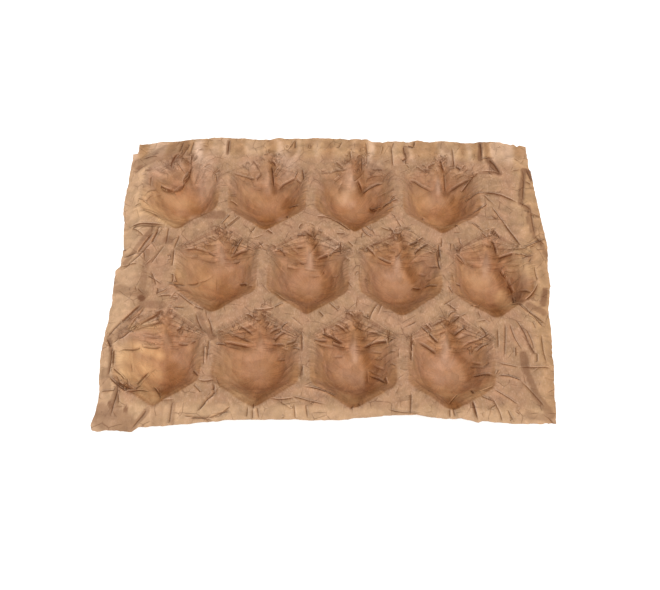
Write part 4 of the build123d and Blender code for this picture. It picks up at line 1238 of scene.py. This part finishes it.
def add_camera(scene):
    """The photograph's camera: its focal length and frame in pixels, its place in millimetres and its turns.

    It looks down by the elevation, and is turned about the upright by the yaw and about its lens by the roll.
    """
    focal_length = 763
    frame_width = 660
    place = (3.75, -344.3, 640.1)
    elevation, yaw, roll = (math.radians(angle) for angle in (62, 0.64, 0.55))
    lens = bpy.data.cameras.new("camera")
    lens.sensor_fit = "HORIZONTAL"
    lens.sensor_width = 36.0
    lens.lens = focal_length / frame_width * lens.sensor_width
    camera = bpy.data.objects.new("camera", lens)
    turn = Matrix.Rotation(yaw, 3, "Z")
    ahead = turn @ Vector((0, math.cos(elevation), -math.sin(elevation)))
    right = turn @ Vector((1, 0, 0))
    up = turn @ Vector((0, math.sin(elevation), math.cos(elevation)))
    rolled_right = right * math.cos(roll) + up * math.sin(roll)
    rolled_up = up * math.cos(roll) - right * math.sin(roll)
    axes = Matrix((rolled_right, rolled_up, -ahead)).transposed().to_4x4()
    camera.matrix_world = Matrix.Translation(Vector(place) * MM) @ axes
    scene.collection.objects.link(camera)
    scene.camera = camera


def length(name, description, millimetres):
    """A length property in metres, with its default in millimetres."""
    return bpy.props.FloatProperty(
        name=name, description=description, default=millimetres * MM, min=0.0, precision=4, unit="LENGTH"
    )


def paint(name, description, colour):
    """A colour property with an sRGB hex default."""
    return bpy.props.FloatVectorProperty(
        name=name, description=description, default=linear(colour), size=4, min=0.0, max=1.0, subtype="COLOR"
    )


class TrayShape(bpy.types.PropertyGroup):
    """Sizes of the cups, the paper and its mesh"""

    cup_width: length("Cup width", "Width of a cup's rim between its straight sides", 73.5)
    cup_length: length("Cup length", "Length of a cup's rim from its front tip to its back tip", 90.0)
    cup_side: length("Cup side", "Length of the straight left and right side of a rim", 43.0)
    cup_depth: length("Cup depth", "Depth of a cup's floor under the lands", 38.0)
    paper: length("Paper thickness", "Thickness of the paper", 0.8)
    cells: bpy.props.IntProperty(
        name="Cells", description="Cells of the mesh along the long side", default=316, min=20, max=400
    )


class TrayFinish(bpy.types.PropertyGroup):
    """Colours of the paper and the floor, and strength of the light"""

    land_colour: paint("Land colour", "Paper on the lands between the cups", "#B18A69")
    margin_colour: paint("Margin colour", "Paper on the margins, which are the lightest", "#C59E77")
    # Partly the stretched paper's own tone, partly painted shade inside the cups
    cup_tone_and_shade_colour: paint("Cup colour", "Paper down in the cups, which looks deeper in tone", "#B78860")
    pink_colour: paint("Pink colour", "Pinkish blotches in the paper", "#B98A6E")
    # Painted glow: a warm colour that stands in for light coming through thin paper
    painted_glow_colour: paint("Warm colour", "Paper that is thin and lets warm light through", "#F0C18D")
    # The paper's own pale spots, and painted highlights on the tongues, bowls and crease edges
    pale_and_highlight_colour: paint("Light colour", "Pale pinkish spots, tongues and edges of creases", "#E1BCA2")
    # Painted shade: a brown that stands in for shade in the channels and on the cups' front walls
    shade_colour: paint("Shade colour", "Brown of the channels and of the cups' front walls", "#945A26")
    stain_colour: paint("Stain colour", "Grey-brown stains", "#80583F")
    # Dark line in creases: partly the crease's own mark, partly painted shadow
    crease_mark_and_shadow_colour: paint("Fold colour", "Dark line in a sharp crease", "#6A3A20")
    roughness: bpy.props.FloatProperty(
        name="Roughness", description="Roughness of the paper", default=0.82, min=0, max=1, subtype="FACTOR"
    )
    floor_colour: paint("Floor colour", "Paint of the studio floor", "#EDEDEC")
    floor_glow: bpy.props.FloatProperty(
        name="Floor glow", description="Glow of the floor, seen by the camera alone", default=0.5
    )
    sun_strength: bpy.props.FloatProperty(name="Lamp", description="Strength of the key lamp", default=1.95)
    world_strength: bpy.props.FloatProperty(name="World", description="Strength of the world", default=0.5)


class TRAY_OT_paper(bpy.types.Operator):
    """Press the sheet of kraft paper into its cups"""

    bl_idname = "tray.paper"
    bl_label = "Press the Paper"

    def execute(self, context):
        mesh = paper_mesh(context.scene.tray_shape)
        tray = bpy.data.objects.new("tray_paper", mesh)
        context.scene.collection.objects.link(tray)
        mesh.materials.append(kraft_paper_material(context.scene.tray_finish))
        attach(tray, "root")
        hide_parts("tray")
        return {"FINISHED"}


class TRAY_OT_stage(bpy.types.Operator):
    """Set the pale floor, the lamp, the world and the camera"""

    bl_idname = "tray.stage"
    bl_label = "Set the Stage"

    def execute(self, context):
        scene = context.scene
        add_floor(scene, scene.tray_finish)
        add_lamp(scene, scene.tray_finish)
        add_world(scene, scene.tray_finish)
        add_camera(scene)
        scene.view_settings.view_transform = "Standard"
        return {"FINISHED"}


class TRAY_PT_panel(bpy.types.Panel):
    """Sizes, colours and steps of the tray"""

    bl_idname = "TRAY_PT_panel"
    bl_label = "Kraft Paper Tray"
    bl_space_type = "VIEW_3D"
    bl_region_type = "UI"
    bl_category = "Tray"

    def draw(self, context):
        for group in (context.scene.tray_shape, context.scene.tray_finish):
            for name in group.__annotations__:
                self.layout.prop(group, name)
        self.layout.operator("tray.paper")
        self.layout.operator("tray.stage")


CLASSES = (TrayShape, TrayFinish, TRAY_OT_paper, TRAY_OT_stage, TRAY_PT_panel)


def register():
    """Registers the classes, and hangs the sizes and colours on the scene."""
    for kind in CLASSES:
        bpy.utils.register_class(kind)
    bpy.types.Scene.tray_shape = bpy.props.PointerProperty(type=TrayShape)
    bpy.types.Scene.tray_finish = bpy.props.PointerProperty(type=TrayFinish)


def unregister():
    """Takes the sizes, colours and classes out again."""
    del bpy.types.Scene.tray_finish
    del bpy.types.Scene.tray_shape
    for kind in reversed(CLASSES):
        bpy.utils.unregister_class(kind)


def main():
    """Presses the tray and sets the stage."""
    register()
    bpy.ops.tray.paper()
    bpy.ops.tray.stage()


if __name__ == "__main__":
    main()
